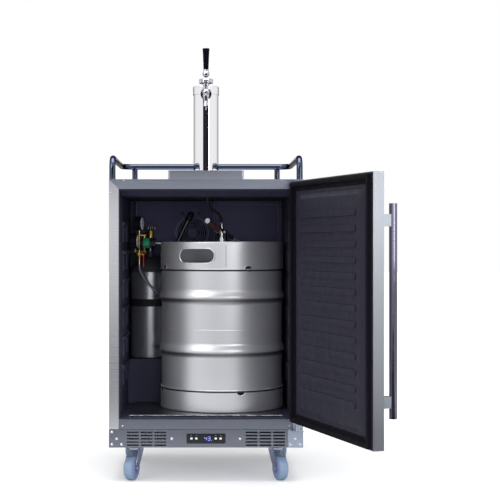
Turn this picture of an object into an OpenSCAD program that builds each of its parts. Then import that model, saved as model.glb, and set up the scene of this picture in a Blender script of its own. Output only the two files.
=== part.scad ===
/* [Cabinet] */
// Width of the cabinet
case_w = 600; // [590:1:640]
// Depth of the cabinet without the door
case_d = 545; // [535:1:600]
// Height of the insulated case above the base
case_h = 772; // [760:1:860]
// Height of the base with the toe grille
base_h = 57; // [56:0.5:80]
// Thickness of the steel sheet
sheet = 1.5; // [1:0.1:2]
// Face width of the front frame
frame_w = 30; // [28:0.5:34]
// Depth of the front frame
frame_t = 12; // [10:0.5:20]

/* [Cavity] */
// Clear width inside the liner
cavity_w = 524; // [516:1:530]
// Distance from the liner's back wall to the back of the case
back_room = 45; // [40:1:48]
// Height of the liner's floor above the bottom of the case
floor_h = 38; // [34:0.5:50]
// Drop of the liner's ceiling below the top of the case
ceiling_drop = 51; // [45:0.5:70]
// Wall of the liner
liner_t = 3; // [2:0.1:4]
// Width of the step at the rear left
step_w = 140; // [136:1:150]
// Depth of the step
step_d = 138; // [134:1:145]
// Height of the step above the liner's floor
step_h = 147; // [140:1:200]
// Thickness of the floor plate under the keg
platform_t = 3.6; // [2:0.1:5]

/* [Door] */
// Opening angle of the door
door_open = 107.4; // [0:0.1:120]
// Width of the door
door_w = 594; // [580:1:600]
// Height of the door
door_h = 742.4; // [720:0.1:760]
// Thickness of the steel door shell
door_t = 31.5; // [28:0.5:45]
// Sheet of the door shell
door_sheet = 1.2; // [0.8:0.1:2]
// Gap between the top of the case and the top of the door
door_drop = 7.3; // [6:0.1:12]
// Distance of the hinge axis from the side of the case
hinge_in = 19; // [17:0.5:22]
// Distance of the hinge axis in front of the frame
hinge_out = 27; // [26:0.5:32]
// Radius of the hinge pins
pin_r = 4; // [3:0.1:5]
// Radius of the handle's bar
handle_r = 10.75; // [8:0.05:13]
// Length of the handle's bar
handle_len = 578; // [400:1:640]

/* [Casters] */
// Overall height of a caster
caster_h = 108; // [104:1:130]
// Radius of a wheel
wheel_r = 37.5; // [30:0.5:40]
// Width of a wheel
wheel_w = 32; // [24:0.5:36]
// Horizontal distance from the swivel axis to the axle
trail = 34; // [28:0.5:38]
// Angle that the casters are turned outwards
caster_yaw = 19; // [0:1:40]

/* [Rail] */
// Radius of the rail's bar
rail_r = 9.6; // [8:0.1:11]
// Height of the rail's centre above the top of the case
rail_h = 67; // [55:1:120]
// Distance of the back rail from the back of the case
rail_in_d = 55; // [35:1:140]
// Distance of the side rails from the sides of the case
rail_in = 10; // [10:0.5:20]

/* [Tower] */
// Distance of the tower's axis behind the frame's face
tower_d = 200; // [198:1:280]
// Radius of the tower's column
tower_r = 40; // [38:0.5:45]
// Wall of the column
tower_wall = 1.5; // [1:0.1:3]
// Height of the tower
tower_h = 309; // [290:1:400]
// Height of the tap's axis above the top of the case
tap_h = 280; // [262:1:281]
// Angle that the tap's lever travels is set by the pivot's height above the tap's axis
lever_arm = 23; // [20:0.5:26]
// Width of the drip tray
tray_w = 236; // [200:1:300]
// Depth of the drip tray
tray_d = 120; // [90:1:122]
// Height of the drip tray
tray_h = 29; // [20:0.5:40]

/* [Keg] */
// Room in front of the keg inside the cavity
keg_front_room = 49.5; // [46:0.5:60]
// Room behind the keg
keg_back_room = 43.5; // [42:0.5:50]
// Gap between the keg and the liner's right wall
keg_side_gap = 6.5; // [4:0.5:10]
// Room for the gas cylinder on the keg's left
gas_room = 110.5; // [108:0.5:130]
// Height of the keg
keg_h = 538; // [500:1:545]

/* [Gas] */
// Radius of the gas cylinder
gas_r = 66.5; // [60:0.5:66.5]
// Height of the gas cylinder's straight wall
gas_h = 288; // [250:1:290]
// Distance of the gas cylinder from the liner's left wall
gas_gap = 5.5; // [5.5:0.5:8]

/* [Hidden] */
$fn = 48;

// Overrun of every cut
over = 1;
// Clearance between parts that move past each other
air = 0.3;
// Radial running clearance of a pin in its bore
fit = 0.05;

// Levels and planes, with depths measured from the face of the front frame
front_y = -case_d / 2;
half_w = case_w / 2;
z_case = caster_h + base_h;
z_top = z_case + case_h;
z_floor = z_case + floor_h;
z_ceiling = z_top - ceiling_drop;
half_cavity = cavity_w / 2;
cavity_d = case_d - back_room;
rail_back_d = case_d - rail_in_d;
step_x = step_w - half_cavity;
step_front = cavity_d - step_d;
z_step = z_floor + step_h;
z_plate = z_floor + platform_t;
frame_x = half_w - frame_w;

// Front frame
seam_w = 0.7;
seam_depth = 0.5;

// Liner
flange_gap = 1;
rim_gap = 0.3;
rim_in = 4;
rim_depth = 41;
rim_lip = 4;
ledge_first = 143;
ledge_pitch = 90;
ledge_n = 6;
ledge_h = 10;
ledge_left = 8;
ledge_right = 3;
ledge_from = 46;
ledge_to = 340;
pad_h = 52;
pad_len = 70;
pad_proud_share = 0.55;
pad_starts = [60, 236];
recess_proud = 6;
recess_edge = 11;
recess_r = 14;
recess_h = 460;
line_hole_r = 13;

// Machine bay under the step
bay_side = 14;
bay_x = bay_side - half_w;
bay_x_end = step_x - liner_t;
bay_front = step_front + liner_t;

// Louvres in the back sheet
louvre_n = 6;
louvre_w = 110;
louvre_h = 6;
louvre_pitch = 16;
louvre_rise = 40;

// Floor plate
platform_front = 20;
platform_back_gap = 8;
platform_side = 23;
platform_step_gap = 3;
// Socket on the floor plate, where the air hose ends
socket_r = 12;
socket_h = 12;
socket_x = step_x + 23;
socket_d = cavity_d - 54;

// Evaporator cover, with its fan grille and the port plate above it
cover_x = -241;
cover_x_end = 29;
cover_depth = 30;
cover_front = cavity_d - cover_depth;
cover_t = 1.2;
cover_h = 324;
cover_drop = 2;
cover_notch_x = -118;
cover_notch_h = 140;
fan_x = -48;
fan_z_drop = 110;
fan_z = z_ceiling - fan_z_drop;
grille_r = 56;
grille_hub_r = 13;
grille_n = 6;
grille_slot_share = 0.56;
grille_bridge = 3.5;
port_w = 46;
port_h = 38;
port_t = 2.5;
port_x = -52;
port_drop = 48;
port_r = 10.5;
port_len = 15.5;
port_bead = 0.8;
port_arm = 24;
port_lean = 25.8;

// Evaporator and condenser blocks
fin_t = 0.6;
coil_pipe_r = 4;
evap_w = 84;
evap_h = 96;
evap_d = 22;
evap_gap = 4;
evap_fin_n = 14;
evap_side = 31.5;
evap_row_n = 4;
evap_bottom = 24;
cond_w = 128;
cond_h = 48;
cond_d = 50;
cond_x = -242;
cond_front = 30;
cond_fin_n = 14;
cond_row_n = 3;

// Fans
fan_r = 50;
fan_hub_r = 16;
fan_depth = 12;
blade_n = 5;
blade_pitch = 32;
blade_t = 1.6;
evap_fan_in = 6;
evap_fan_front = cover_front + evap_fan_in;
motor_r = 15;
motor_len = 11.7;
spindle_r = 2;
bracket_w = 8;
bracket_t = 1.8;
cond_fan_r = 21;
cond_fan_hub_r = 8;
cond_fan_depth = 10;
cond_fan_front = 88;
cond_motor_len = 26;
cond_motor_r = 12;
motor_foot = 16;

// Base
base_wall = 2;
base_front = 3;
base_flange = 18;
base_inset = 2;
base_seam = 1;

// Toe grille
toe_t = 1.5;
slot_n = 5;
slot_h = 4.6;
slot_pitch = 9.9;
slot_w = 37;
slot_step = 42.4;
slot_first = 122.5;
slot_col_n = 3;
slot_rise = 7.3;
rim_w = 3.4;
rim_t = 1;

// Control panel
panel_w = 120;
panel_h = 30.5;
panel_r = 4;
panel_rise = 28;
panel_depth = 16;
panel_proud = 0.4;
window_w = 50;
window_h = 17;
window_t = 0.3;
button_w = 7.2;
button_h = 5.2;
button_len = 6;
button_travel = 0.8;
button_out = 0.6;
button_x1 = 30;
button_x2 = 45;

// Compressor
comp_r = 60;
comp_x = -203;
comp_d = (bay_front + case_d - sheet) / 2;
comp_wall_h = 96;
comp_dome = 34;
comp_foot_r = 9;
comp_foot_h = 12;
comp_foot_out = 52;
comp_box = [26, 20, 44];
comp_pipe_r = 4;
comp_pipe_h = 28;
comp_pipe_out = 34;

// Screws
screw_r = 4;
screw_head = 1.6;
plug_r = 2.2;
plug_head = 0.5;
frame_plug_in = 5;
frame_plug_far = 42;
frame_plug_low = 10;
toe_screw_in = 9.3;
toe_screw_mid = 24;
toe_screw_far = 39;
toe_screw_up = 48;
toe_screw_mid_z = 27;
toe_screw_down = 10;
toe_screw_inner = 105.5;
cover_screw_in = 8;
cover_screw_drop = 26;
cover_screw_x = -102;
cover_screw_mid_drop = 58;

// Hinge brackets
bracket_x_in = 1;
hinge_plate_w = 46;
hinge_plate_t = 3;
leaf_t = 3;
leaf_len = 40;
leaf_w = 36;
leaf_gap = 1.5;
pin_in_door = 14;
collar_r = 8.5;
collar_top_r = 6;
collar_gap = 0.6;
upper_plate_h = 8;

// Door
door_gap = 15;
door_lip = 16;
hinge_block = [26, 17];
door_liner_t = 3;
door_liner_in = 2;
field_hinge_in = 69;
field_free_in = 53;
field_end_in = 43.7;
field_draft = 14;
field_h = 8;
field_r = 18;
rib_n = 13;
rib_h = 17.5;
rib_pitch = 43.8;
rib_top = 106;
rib_free_in = 88;
rib_hinge_in = 102;
rib_proud = 3;
gasket_w = 28;
gasket_in = 4;
gasket_hinge_in = 14;
gasket_clear = 0.4;
gasket_r = 7;
gasket_base_w = 12;
gasket_base_t = 3.5;
handle_in = 25;
handle_out = 38;
handle_top = 84;
post_w = 14;
post_h = 33;
post_in = 45.5;
post_bite = 5;

// Guard rail
rail_bend = 34;
rail_corner = 42;
rail_front_d = 12;
rail_post_in = 54;
post_slim = 0.4;

// Tower and tap
base_flange_r = tower_r + 7;
base_flange_t = 4;
cap_r = 42;
cap_h = 27;
cap_t = 2;
cap_dome = 3;
shank_r = 8;
shank_bore = 3.5;
shank_in = 26;
shank_nut_r = 15;
shank_nut_t = 6;
barb_r = 4.6;
barb_len = 10;
collar_in = 10;
nut_r = 17.5;
nut_front = 136;
nut_back = 149.4;
nut_flute_r = 3.2;
nut_flute_n = 8;
body_r = 12;
body_front = 94;
body_tail = 147;
spout_d = 98;
spout_z = 44;
spout_top_r = 10.5;
spout_neck_r = 6.6;
spout_end_r = 8.7;
spout_neck_rise = 16;
spout_shoulder = 14;
spout_bore = 5;
mouth_r = 7;
mouth_depth = 5;
throat_r = 10;
throat_bore = 8;
lever_d = 114;
throat_top = 6;
shaft_r = 5.5;
shaft_front = 104;
shaft_end = 137;
disc_r = 6.8;
disc_t = 3;
chamber_r = 7.6;
chamber_front = 133.6;
notch_gap = 0.4;
notch_floor = 4;
bonnet_neck_r = 11.4;
bonnet_r = 22.5;
bonnet_low = 7;
bonnet_wall = 9;
bonnet_top = 21;
bonnet_top_r = 15.5;
bonnet_mouth_r = 14.2;
bonnet_flute_r = 2.4;
bonnet_flute_n = 10;
stem_r = 3.2;
tip_r = 1.7;
pivot_r = 7.6;
pivot_pin_r = 2;
ball_r = 11;
ball_rise = 37;
ferrule_r = 8;
ferrule_rise = 44;
ferrule_h = 6.5;
stud_len = 14;
grip_low_r = 8.1;
grip_high_r = 10.7;
grip_h = 67;
grip_cap_h = 5;
grip_cap_r = 11.4;
grip_flute_r = 2.2;
grip_flute_n = 8;

// Drip tray
tray_gap = 1;
tray_front = tower_d - base_flange_r - tray_gap - tray_d;
tray_wall = 1.2;
tray_r = 5;
grid_t = 1.6;
grid_drop = 3;
grid_slot_w = 5;
grid_slot_n = 11;
grid_margin = 14;
grid_r = 4;
rest_w = 3;
seat_gap = 0.3;

// Keg, as wide as the cavity takes
keg_r = min(cavity_d - keg_front_room - keg_back_room, cavity_w - keg_side_gap - gas_room) / 2;
keg_x = half_cavity - keg_side_gap - keg_r;
keg_d = keg_front_room + keg_r;

// Keg, with heights given from its foot
keg_wall = 2;
rib_out = 6.5;
body_in = 6.5;
keg_body_r = keg_r - body_in;
chime_r = keg_r - 3;
chime_t = 4;
low_chime = 66;
high_chime = 450;
rib_low = 192;
rib_high = 362;
rib_half = 24;
keg_dome = 27;
keg_floor = 28;
keg_neck_r = 27;
keg_neck_h = 497;
keg_bore_r = 18;
rim_r = 4.5;
joint_in = 3;
handle_w = 118;
handle_h = 44;
handle_z = 493;
handle_angle = -24.8;
bead_r = 3;
grip_hole_in = 53.5;
vent_r = 8.5;
vent_high_angle = 23.9;
vent_low_angle = 16.6;
weld_z = 259;
weld_r = 1;
keg_valve_h = 8;
spear_r = 7;
spear_len = 440;

// Coupler
coup_foot_r = 24;
coup_foot_h = 14;
coup_body_r = 14;
coup_body_h = 54;
coup_neck_r = 7;
coup_barb_h = 86;
coup_top_h = 98;
coup_lift = 0.1;
coup_pivot_rise = 70;
coup_ear_x = 17;
coup_inlet_rise = 79;
coup_inlet_len = 51;
coup_inlet_r = 5;
coup_inlet_tilt = 28.6;
inlet_yaw = 35;
lever_angle = 23.1;
lever_yaw = 58;
lever_from = 8;
lever_arm_len = 30;
lever_arm_h = 8;
grip_len = 66;
coup_grip_r = 9.6;
coup_grip_end_r = 8.6;
coup_cap_h = 3;
ear_t = 3;
ear_gap = 0.4;
cross_r = 3;

// Gas cylinder, and its fittings with heights given from the foot of its neck
gas_wall = 3.2;
gas_x = gas_r + gas_gap - half_cavity;
gas_back = 1.5;
gas_d = cavity_d - gas_back - gas_r;
gas_shoulder = 56;
gas_neck_r = 9.5;
gas_neck_h = 20;
gas_foot_r = 8;
valve_r = 12;
valve_low = 20;
valve_mid = 66;
valve_top = 87;
valve_stem_r = 4;
valve_stem_top = 104;
valve_outlet_r = 8;
wheel_hand_r = 20;
wheel_hand_h = 9;
wheel_lobe_n = 6;
wheel_lobe_r = 5;
wheel_lift = 94;
reg_z = 47;
reg_r = 17;
reg_out = 66;
reg_from = -26;
reg_to = 20;
reg_band_r = 17.8;
reg_nut_r = 13;
reg_nut_len = 14;
gauge_r = 24;
gauge_t = 24;
gauge_high_x = -35;
gauge_turn = 16;
gauge_high_z = 112;
gauge_low_x = -48;
gauge_low_z = 53;
gauge_low_r = 26;
gauge_glass = 2;
stem_pipe_r = 4.5;
tee_z = 74;
tee_r = 6;
low_pipe_z = 18;
feed_r = 2.6;
feed_x = -34;
feed_out = 84;
shut_r = 6.5;
shut_top = 24;
shut_low = -18;
shut_hex_r = 9;
shut_hex_h = 9;
shut_boss_r = 4.5;
shut_boss_len = 13;
shut_axis_z = 9;
shut_pin_r = 2.5;
shut_pin_len = 5;
red_len = 43;
red_w = 9;
red_t = 2.6;
screw_len = 24;
adjust_r = 3.2;
adjust_knob_r = 5;
adjust_knob_len = 10;
adjust_in = 12;
nut_len = 8;
nut_small_r = 5.4;
strap_t = 1.4;
strap_h = 25;
strap_z = 176;
strap_gap = 0.3;
strap_tab_w = 40;

// Casters
caster_front_x = 221;
caster_front_d = 75;
caster_rear_x = 240;
caster_rear_in = 65;
caster_rear_d = case_d - caster_rear_in;
plate_w = 60;
plate_t = 4;
plate_r = 8;
bolt_r = 3.5;
bolt_in = 11;
race_r = 22;
race_h = 5;
kingpin_r = 5;
kingpin_head_r = 8;
kingpin_head_h = 3;
fork_top_t = 5;
fork_top_r = 24;
fork_leg_t = 2.5;
fork_side_gap = 1.5;
fork_end_r = 11;
axle_r = 4;
axle_head_r = 7;
axle_head_t = 4;
hub_r = 24;
hub_in = 3;
tyre_round = 9;
groove_r = 17;
groove_t = 1;
fork_gap = 0.4;

// Hoses, whose routes are lists of points at distances from the middle, the frame's face and the floor
hose_sides = 10;
hose_steps = 2;
hose_gap = 0.2;
line_off = 4.2;
line_rise = 14;
gas_drop = [[0, 0, 0], [0, 0, -9], [3, 0, -20], [13, -1, -41], [31, -2, -64], [52, 1, -84], [71, 12, -100]];
gas_behind = [[-54.7, 19.6, -110], [-36, 14.9, -110], [-26.3, 13, -100], [-16.3, 10.1, -79],
  [-7.6, 8.9, -50]];
gas_over = [[-1.1, 10, -92.7], [2.7, 10.7, -56.7], [4, 9.5, -22.7], [5.1, -0.7, 2.8], [7.4, -25.5, 13.3]];
gas_in = [[7.2, 86.2, -8.4], [18.9, 49.3, -14.4], [20.8, 32.1, -14.7], [16.1, 15.9, -10.9],
  [5.5, 4.4, -3.7], [0, 0, 0]];
beer_over = [[0, 0.1], [0.02, 16.2], [0.2, 34.6], [0.5, 42.6], [0.8, 50.6], [0.97, 68.2]];
beer_up = [[16, -177], [31, -77], [32.5, -33], [22.8, -9.7], [8, -1.1], [-3.8, 0]];
air_drop = [[0, 0, 0], [-17.6, 0, -36.4], [-32, -0.5, -68], [-41, -2, -96], [-44, -4, -130]];
air_down = [[-6.5, 1.5, 384], [-5, 1, 313], [-3, 0, 233], [-1, 0, 153], [0, 0, 83], [0, 0, 0]];
gas_hose_r = 4.5;
beer_hose_r = 4.5;
air_hose_r = 8;

function unit(v) = v / norm(v);
function spline(a, b, c, d, t) = 0.5 * ((2 * b) + (c - a) * t + (2 * a - 5 * b + 4 * c - d) * t * t
  + (3 * b - a - 3 * c + d) * t * t * t);
function smooth(p) = concat([for (i = [0:len(p) - 2], k = [0:hose_steps - 1])
  spline(p[max(i - 1, 0)], p[i], p[i + 1], p[min(i + 2, len(p) - 1)], k / hose_steps)],
  [p[len(p) - 1]]);
function tangent(p, i) = unit(p[min(i + 1, len(p) - 1)] - p[max(i - 1, 0)]);
function carried(v, t) = unit(v - (v * t) * t);
function normals(p, seed, i = 0, done = []) = i == len(p) ? done :
  normals(p, seed, i + 1, concat(done, [carried(i == 0 ? seed : done[i - 1], tangent(p, i))]));

// Solid between two corners, with its depths measured from the frame's face
module slab(x, d, z) {
  translate([x[0], front_y + d[0], z[0]]) cube([x[1] - x[0], d[1] - d[0], z[1] - z[0]]);
}

module at(x, d, z) {
  translate([x, front_y + d, z]) children();
}

module rod_x(r, x, d, z) {
  at(x[0], d, z) rotate([0, 90, 0]) cylinder(r = r, h = x[1] - x[0]);
}

module rod_d(r, x, d, z) {
  at(x, d[0], z) rotate([-90, 0, 0]) cylinder(r = r, h = d[1] - d[0]);
}

module rod_z(r, x, d, z) {
  at(x, d, z[0]) cylinder(r = r, h = z[1] - z[0]);
}

module rounded(w, h, r) {
  square([w - 2 * r, h], center = true);
  square([w, h - 2 * r], center = true);
  for (x = [-1, 1], y = [-1, 1]) translate([x * (w / 2 - r), y * (h / 2 - r)]) circle(r = r);
}

// Upright rounded plate whose faces look to the front and the back
module upright(w, h, r, x, d, z) {
  at(x, d[1], z) rotate([90, 0, 0]) linear_extrude(d[1] - d[0]) rounded(w, h, r);
}

module level(w, l, r, x, d, z) {
  at(x, d, z[0]) linear_extrude(z[1] - z[0]) rounded(w, l, r);
}

// Round hose swept along a smooth route
module hose(route, r, seed) {
  path = smooth([for (q = route) [q[0], front_y + q[1], q[2]]]);
  side = normals(path, seed);
  rings = len(path);
  points = [for (i = [0:rings - 1], j = [0:hose_sides - 1])
    let (a = 360 * j / hose_sides)
    path[i] + r * (cos(a) * side[i] + sin(a) * cross(tangent(path, i), side[i]))];
  walls = [for (i = [0:rings - 2], j = [0:hose_sides - 1])
    let (a = i * hose_sides + j, b = i * hose_sides + (j + 1) % hose_sides)
    each [[a, a + hose_sides, b + hose_sides], [a, b + hose_sides, b]]];
  first = [[for (j = [0:hose_sides - 1]) j]];
  last = [[for (j = [hose_sides - 1:-1:0]) (rings - 1) * hose_sides + j]];
  polyhedron(points, concat(walls, first, last));
}

// Cabinet case

module outer_case() {
  color("silver") difference() {
    slab([-half_w, half_w], [frame_t, case_d], [z_case, z_top]);
    slab([sheet - half_w, half_w - sheet], [frame_t - over, case_d - sheet],
      [z_case - over, z_top - sheet]);
    rod_z(line_hole_r, 0, tower_d, [z_top - sheet - over, z_top + over]);
    for (i = [0:louvre_n - 1]) {
      z = z_case + louvre_rise + i * louvre_pitch;
      upright(louvre_w, louvre_h, louvre_h / 2 - seam_w, comp_x, [case_d - sheet - over, case_d + over], z);
    }
  }
}

module front_frame() {
  inner_low = z_case + frame_w;
  inner_top = z_top - frame_w;
  mitre = frame_w * sqrt(2);
  color("lightgray") difference() {
    slab([-half_w, half_w], [0, frame_t], [z_case, z_top]);
    slab([-frame_x, frame_x], [-over, frame_t + over], [inner_low, inner_top]);
    difference() {
      slab([sheet - half_w, half_w - sheet], [sheet, frame_t + over], [z_case + sheet, z_top - sheet]);
      slab([-frame_x - sheet, frame_x + sheet], [0, frame_t + 2 * over],
        [inner_low - sheet, inner_top + sheet]);
    }
    for (s = [-1, 1]) {
      at(s * (half_w - frame_w / 2), 0, z_top - frame_w / 2) rotate([0, s * 45 + 45, 0])
        translate([-mitre / 2, -over, -seam_w / 2]) cube([mitre, over + seam_depth, seam_w]);
      slab([s * frame_x - seam_w / 2, s * frame_x + seam_w / 2], [-over, seam_depth],
        [z_case - over, inner_low + over]);
    }
    screw_places_frame() cylinder(r = plug_r / 2, h = sheet + over);
  }
}

// Liner: a box with a flared mouth, a flange behind the frame, ledges, a step and a recessed panel

module cavity_space() {
  slab([-half_cavity, half_cavity], [rim_in - over, cavity_d], [z_floor, z_ceiling]);
}

module bay_space(grow) {
  slab([bay_x - grow, bay_x_end + grow], [bay_front - grow, case_d - sheet + over],
    [z_case - over, z_step - liner_t + grow]);
}

module liner_block(grow) {
  slab([-half_cavity - liner_t - grow, half_cavity + liner_t + grow], [frame_t, cavity_d + liner_t + grow],
    [z_floor - liner_t - grow, z_ceiling + liner_t + grow]);
  slab([-frame_x + rim_gap, frame_x - rim_gap], [rim_in, rim_depth + rim_lip + grow],
    [z_case + frame_w + rim_gap, z_top - frame_w - rim_gap]);
}

module ledges(side, proud) {
  wall = side * half_cavity;
  edges = side < 0 ? [wall - liner_t / 2, wall + proud] : [wall - proud, wall + liner_t / 2];
  pads = side < 0 ? [wall - liner_t / 2, wall + proud * pad_proud_share]
    : [wall - proud * pad_proud_share, wall + liner_t / 2];
  for (i = [0:ledge_n - 1]) {
    z = z_floor + ledge_first + i * ledge_pitch;
    slab(edges, [ledge_from, ledge_to], [z, z + ledge_h]);
    for (p = pad_starts) slab(pads, [p, p + pad_len], [z - pad_h, z]);
  }
}

module inner_liner() {
  recess_w = half_cavity - cover_x_end;
  color("dimgray") {
    difference() {
      union() {
        liner_block(0);
        difference() {
          slab([flange_gap + sheet - half_w, half_w - sheet - flange_gap], [frame_t, frame_t + liner_t],
            [z_case + flange_gap, z_top - sheet - flange_gap]);
        }
      }
      difference() {
        cavity_space();
        slab([-half_cavity - over, step_x], [step_front, cavity_d + over], [z_floor - over, z_step]);
      }
      bay_space(0);
      hull() {
        slab([rim_lip - frame_x, frame_x - rim_lip], [rim_in - over, rim_in],
          [z_case + frame_w + rim_lip, z_top - frame_w - rim_lip]);
        slab([-half_cavity, half_cavity], [rim_depth, rim_depth + over], [z_floor, z_ceiling]);
      }
      rod_z(line_hole_r, 0, tower_d, [z_ceiling - over, z_ceiling + liner_t + over]);
    }
    ledges(-1, ledge_left);
    ledges(1, ledge_right);
    difference() {
      slab([cover_x_end, half_cavity], [cavity_d - recess_proud, cavity_d + liner_t / 2],
        [z_ceiling - recess_h, z_ceiling]);
      upright(recess_w - 2 * recess_edge, recess_h - 2 * recess_edge, recess_r,
        cover_x_end + recess_w / 2, [cavity_d - recess_proud - over, cavity_d + liner_t],
        z_ceiling - recess_h / 2);
    }
  }
}

module insulation_foam() {
  color("khaki") difference() {
    slab([sheet - half_w, half_w - sheet], [frame_t + liner_t, case_d - sheet], [z_case, z_top - sheet]);
    liner_block(0);
    bay_space(0);
    rod_z(line_hole_r, 0, tower_d, [z_ceiling - over, z_top + over]);
  }
}

module keg_platform() {
  side = half_cavity - platform_side;
  color("gainsboro") difference() {
    union() {
      slab([-side, side], [platform_front, cavity_d - platform_back_gap], [z_floor, z_plate]);
      rod_z(socket_r, socket_x, socket_d, [z_floor, z_plate + socket_h]);
    }
    slab([-half_cavity - over, step_x + platform_step_gap],
      [step_front - platform_step_gap, cavity_d + over], [z_floor - over, z_plate + over]);
    rod_z(air_hose_r + seat_gap / 2, socket_x, socket_d, [z_plate, z_plate + socket_h + over]);
  }
}

// Cooling parts

module fan_grille_2d() {
  pitch = (grille_r - grille_hub_r) / grille_n;
  difference() {
    for (i = [0:grille_n - 1]) difference() {
      circle(r = grille_r - i * pitch);
      circle(r = grille_r - i * pitch - pitch * grille_slot_share);
    }
    for (a = [45, 135]) rotate(a) square([2 * grille_r + 2 * over, grille_bridge], center = true);
  }
}

// Space of the cover, drawn in by its wall, with a corner left out for the gas cylinder
module cover_space(wall, back) {
  z_high = z_ceiling - cover_drop;
  z_low = z_high - cover_h;
  difference() {
    slab([cover_x + wall, cover_x_end - wall], [cover_front + wall, cavity_d + back], [z_low + wall, z_high - wall]);
    slab([cover_x - over, cover_notch_x + wall], [cover_front - over, cavity_d + 2 * over],
      [z_low - over, z_low + cover_notch_h + wall]);
  }
}

module evaporator_cover() {
  port_z = z_ceiling - port_drop;
  color("dimgray") {
    difference() {
      cover_space(0, 0);
      cover_space(cover_t, over);
      at(fan_x, cover_front + cover_t + over, fan_z) rotate([90, 0, 0])
        linear_extrude(cover_t + 2 * over) fan_grille_2d();
      screw_places_cover() cylinder(r = plug_r / 2, h = cover_t + 2 * over);
    }
    upright(port_w, port_h, port_t, port_x, [cover_front - port_t, cover_front], port_z);
    rod_d(port_r, port_x, [cover_front - port_t - port_len, cover_front - port_t], port_z);
    at(port_x, cover_front - port_t - port_len, port_z) {
      sphere(r = port_r + port_bead);
      rotate([0, port_lean - 180, 0]) cylinder(r = port_r, h = port_arm);
    }
  }
}

// Finned block: upright fins on level pipes joined by return bends
module fin_block(x, d, z, w, deep, h, fins, rows) {
  row_pitch = h / rows;
  for (i = [0:fins - 1]) {
    fx = x + (w - fin_t) * i / (fins - 1);
    slab([fx, fx + fin_t], [d, d + deep], [z, z + h]);
  }
  for (j = [0:rows - 1]) rod_x(coil_pipe_r, [x - row_pitch / 2, x + w + row_pitch / 2], d + deep / 2,
    z + row_pitch * (j + 0.5));
  for (j = [0:rows - 2]) {
    bend_x = j % 2 == 0 ? x + w + row_pitch / 2 : x - row_pitch / 2;
    at(bend_x, d + deep / 2, z + row_pitch * (j + 1)) rotate([90, j % 2 == 0 ? 90 : -90, 0])
      rotate_extrude(angle = 180) translate([row_pitch / 2, 0]) circle(r = coil_pipe_r);
  }
}

module evaporator_coil() {
  z_low = z_ceiling - cover_drop - cover_h + cover_t + evap_bottom;
  x = cover_x_end - evap_side - evap_w;
  color("tan") fin_block(x, cover_front + cover_t + evap_gap, z_low, evap_w, evap_d, evap_h,
    evap_fin_n, evap_row_n);
}

module condenser_coil() {
  color("tan") fin_block(cond_x, cond_front, caster_h + base_wall + fit, cond_w, cond_d,
    cond_h, cond_fin_n, cond_row_n);
}

module rotor(x, d, z, r, hub, depth) {
  at(x, d, z) rotate([-90, 0, 0]) difference() {
    union() {
      cylinder(r = hub, h = depth);
      for (i = [0:blade_n - 1]) rotate([0, 0, 360 * i / blade_n])
        translate([hub * 0.8, 0, depth / 2]) rotate([blade_pitch, 0, 0])
          translate([0, -depth * 0.8, -blade_t / 2])
            cube([r - hub * 0.8, depth * 1.6, blade_t]);
    }
    translate([0, 0, -over]) cylinder(r = spindle_r + fit, h = depth + 2 * over);
  }
}

module evaporator_fan() {
  color("black") rotor(fan_x, evap_fan_front, fan_z, fan_r, fan_hub_r, fan_depth);
}

cond_fan_x = cond_x + cond_w / 2;
cond_fan_z = caster_h + base_wall + cond_h / 2;

module condenser_fan() {
  color("black") rotor(cond_fan_x, cond_fan_front, cond_fan_z, cond_fan_r, cond_fan_hub_r, cond_fan_depth);
}

module fan_motors() {
  back = evap_fan_front + fan_depth + air;
  motor_back = back + motor_len;
  cond_back = cond_fan_front + cond_fan_depth + air;
  color("slategray") {
    rod_d(motor_r, fan_x, [back, motor_back], fan_z);
    rod_d(spindle_r, fan_x, [evap_fan_front, back], fan_z);
    for (a = [30, 150, 270]) at(fan_x, motor_back - bracket_t, fan_z) rotate([0, a, 0])
      translate([0, 0, -bracket_w / 2]) cube([grille_r + bracket_w, bracket_t, bracket_w]);
    at(fan_x, motor_back - bracket_t, fan_z) rotate([-90, 0, 0]) difference() {
      cylinder(r = grille_r + bracket_w, h = bracket_t);
      translate([0, 0, -over]) cylinder(r = grille_r, h = bracket_t + 2 * over);
    }
    rod_d(cond_motor_r, cond_fan_x, [cond_back, cond_back + cond_motor_len], cond_fan_z);
    rod_d(spindle_r, cond_fan_x, [cond_fan_front, cond_back], cond_fan_z);
    slab([cond_fan_x - motor_foot / 2, cond_fan_x + motor_foot / 2], [cond_back + bracket_t, cond_back
      + cond_motor_len - bracket_t], [caster_h + base_wall, cond_fan_z]);
  }
}

module compressor() {
  foot_z = caster_h + base_wall;
  shell_z = foot_z + comp_foot_h;
  color("black") {
    at(comp_x, comp_d, shell_z) rotate_extrude() polygon(concat(
      [[0, 0], [comp_r - comp_foot_h, 0], [comp_r, comp_foot_h]],
      [for (a = [0:10:90]) [comp_r * cos(a), comp_wall_h + comp_dome * sin(a)]]));
    for (a = [45, 135, 225, 315]) at(comp_x, comp_d, foot_z) rotate(a) translate([comp_foot_out, 0, 0])
      cylinder(r = comp_foot_r, h = comp_foot_h + over);
    slab([comp_x + comp_r - comp_foot_r, comp_x + comp_r + comp_box[0] / 2],
      [comp_d - comp_box[1] / 2, comp_d + comp_box[1] / 2],
      [shell_z + comp_foot_h, shell_z + comp_foot_h + comp_box[2]]);
  }
  color("sienna") rod_z(comp_pipe_r, comp_x - comp_pipe_out, comp_d,
    [shell_z + comp_wall_h, shell_z + comp_wall_h + comp_dome + comp_pipe_h]);
}

// Base and its front

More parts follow.
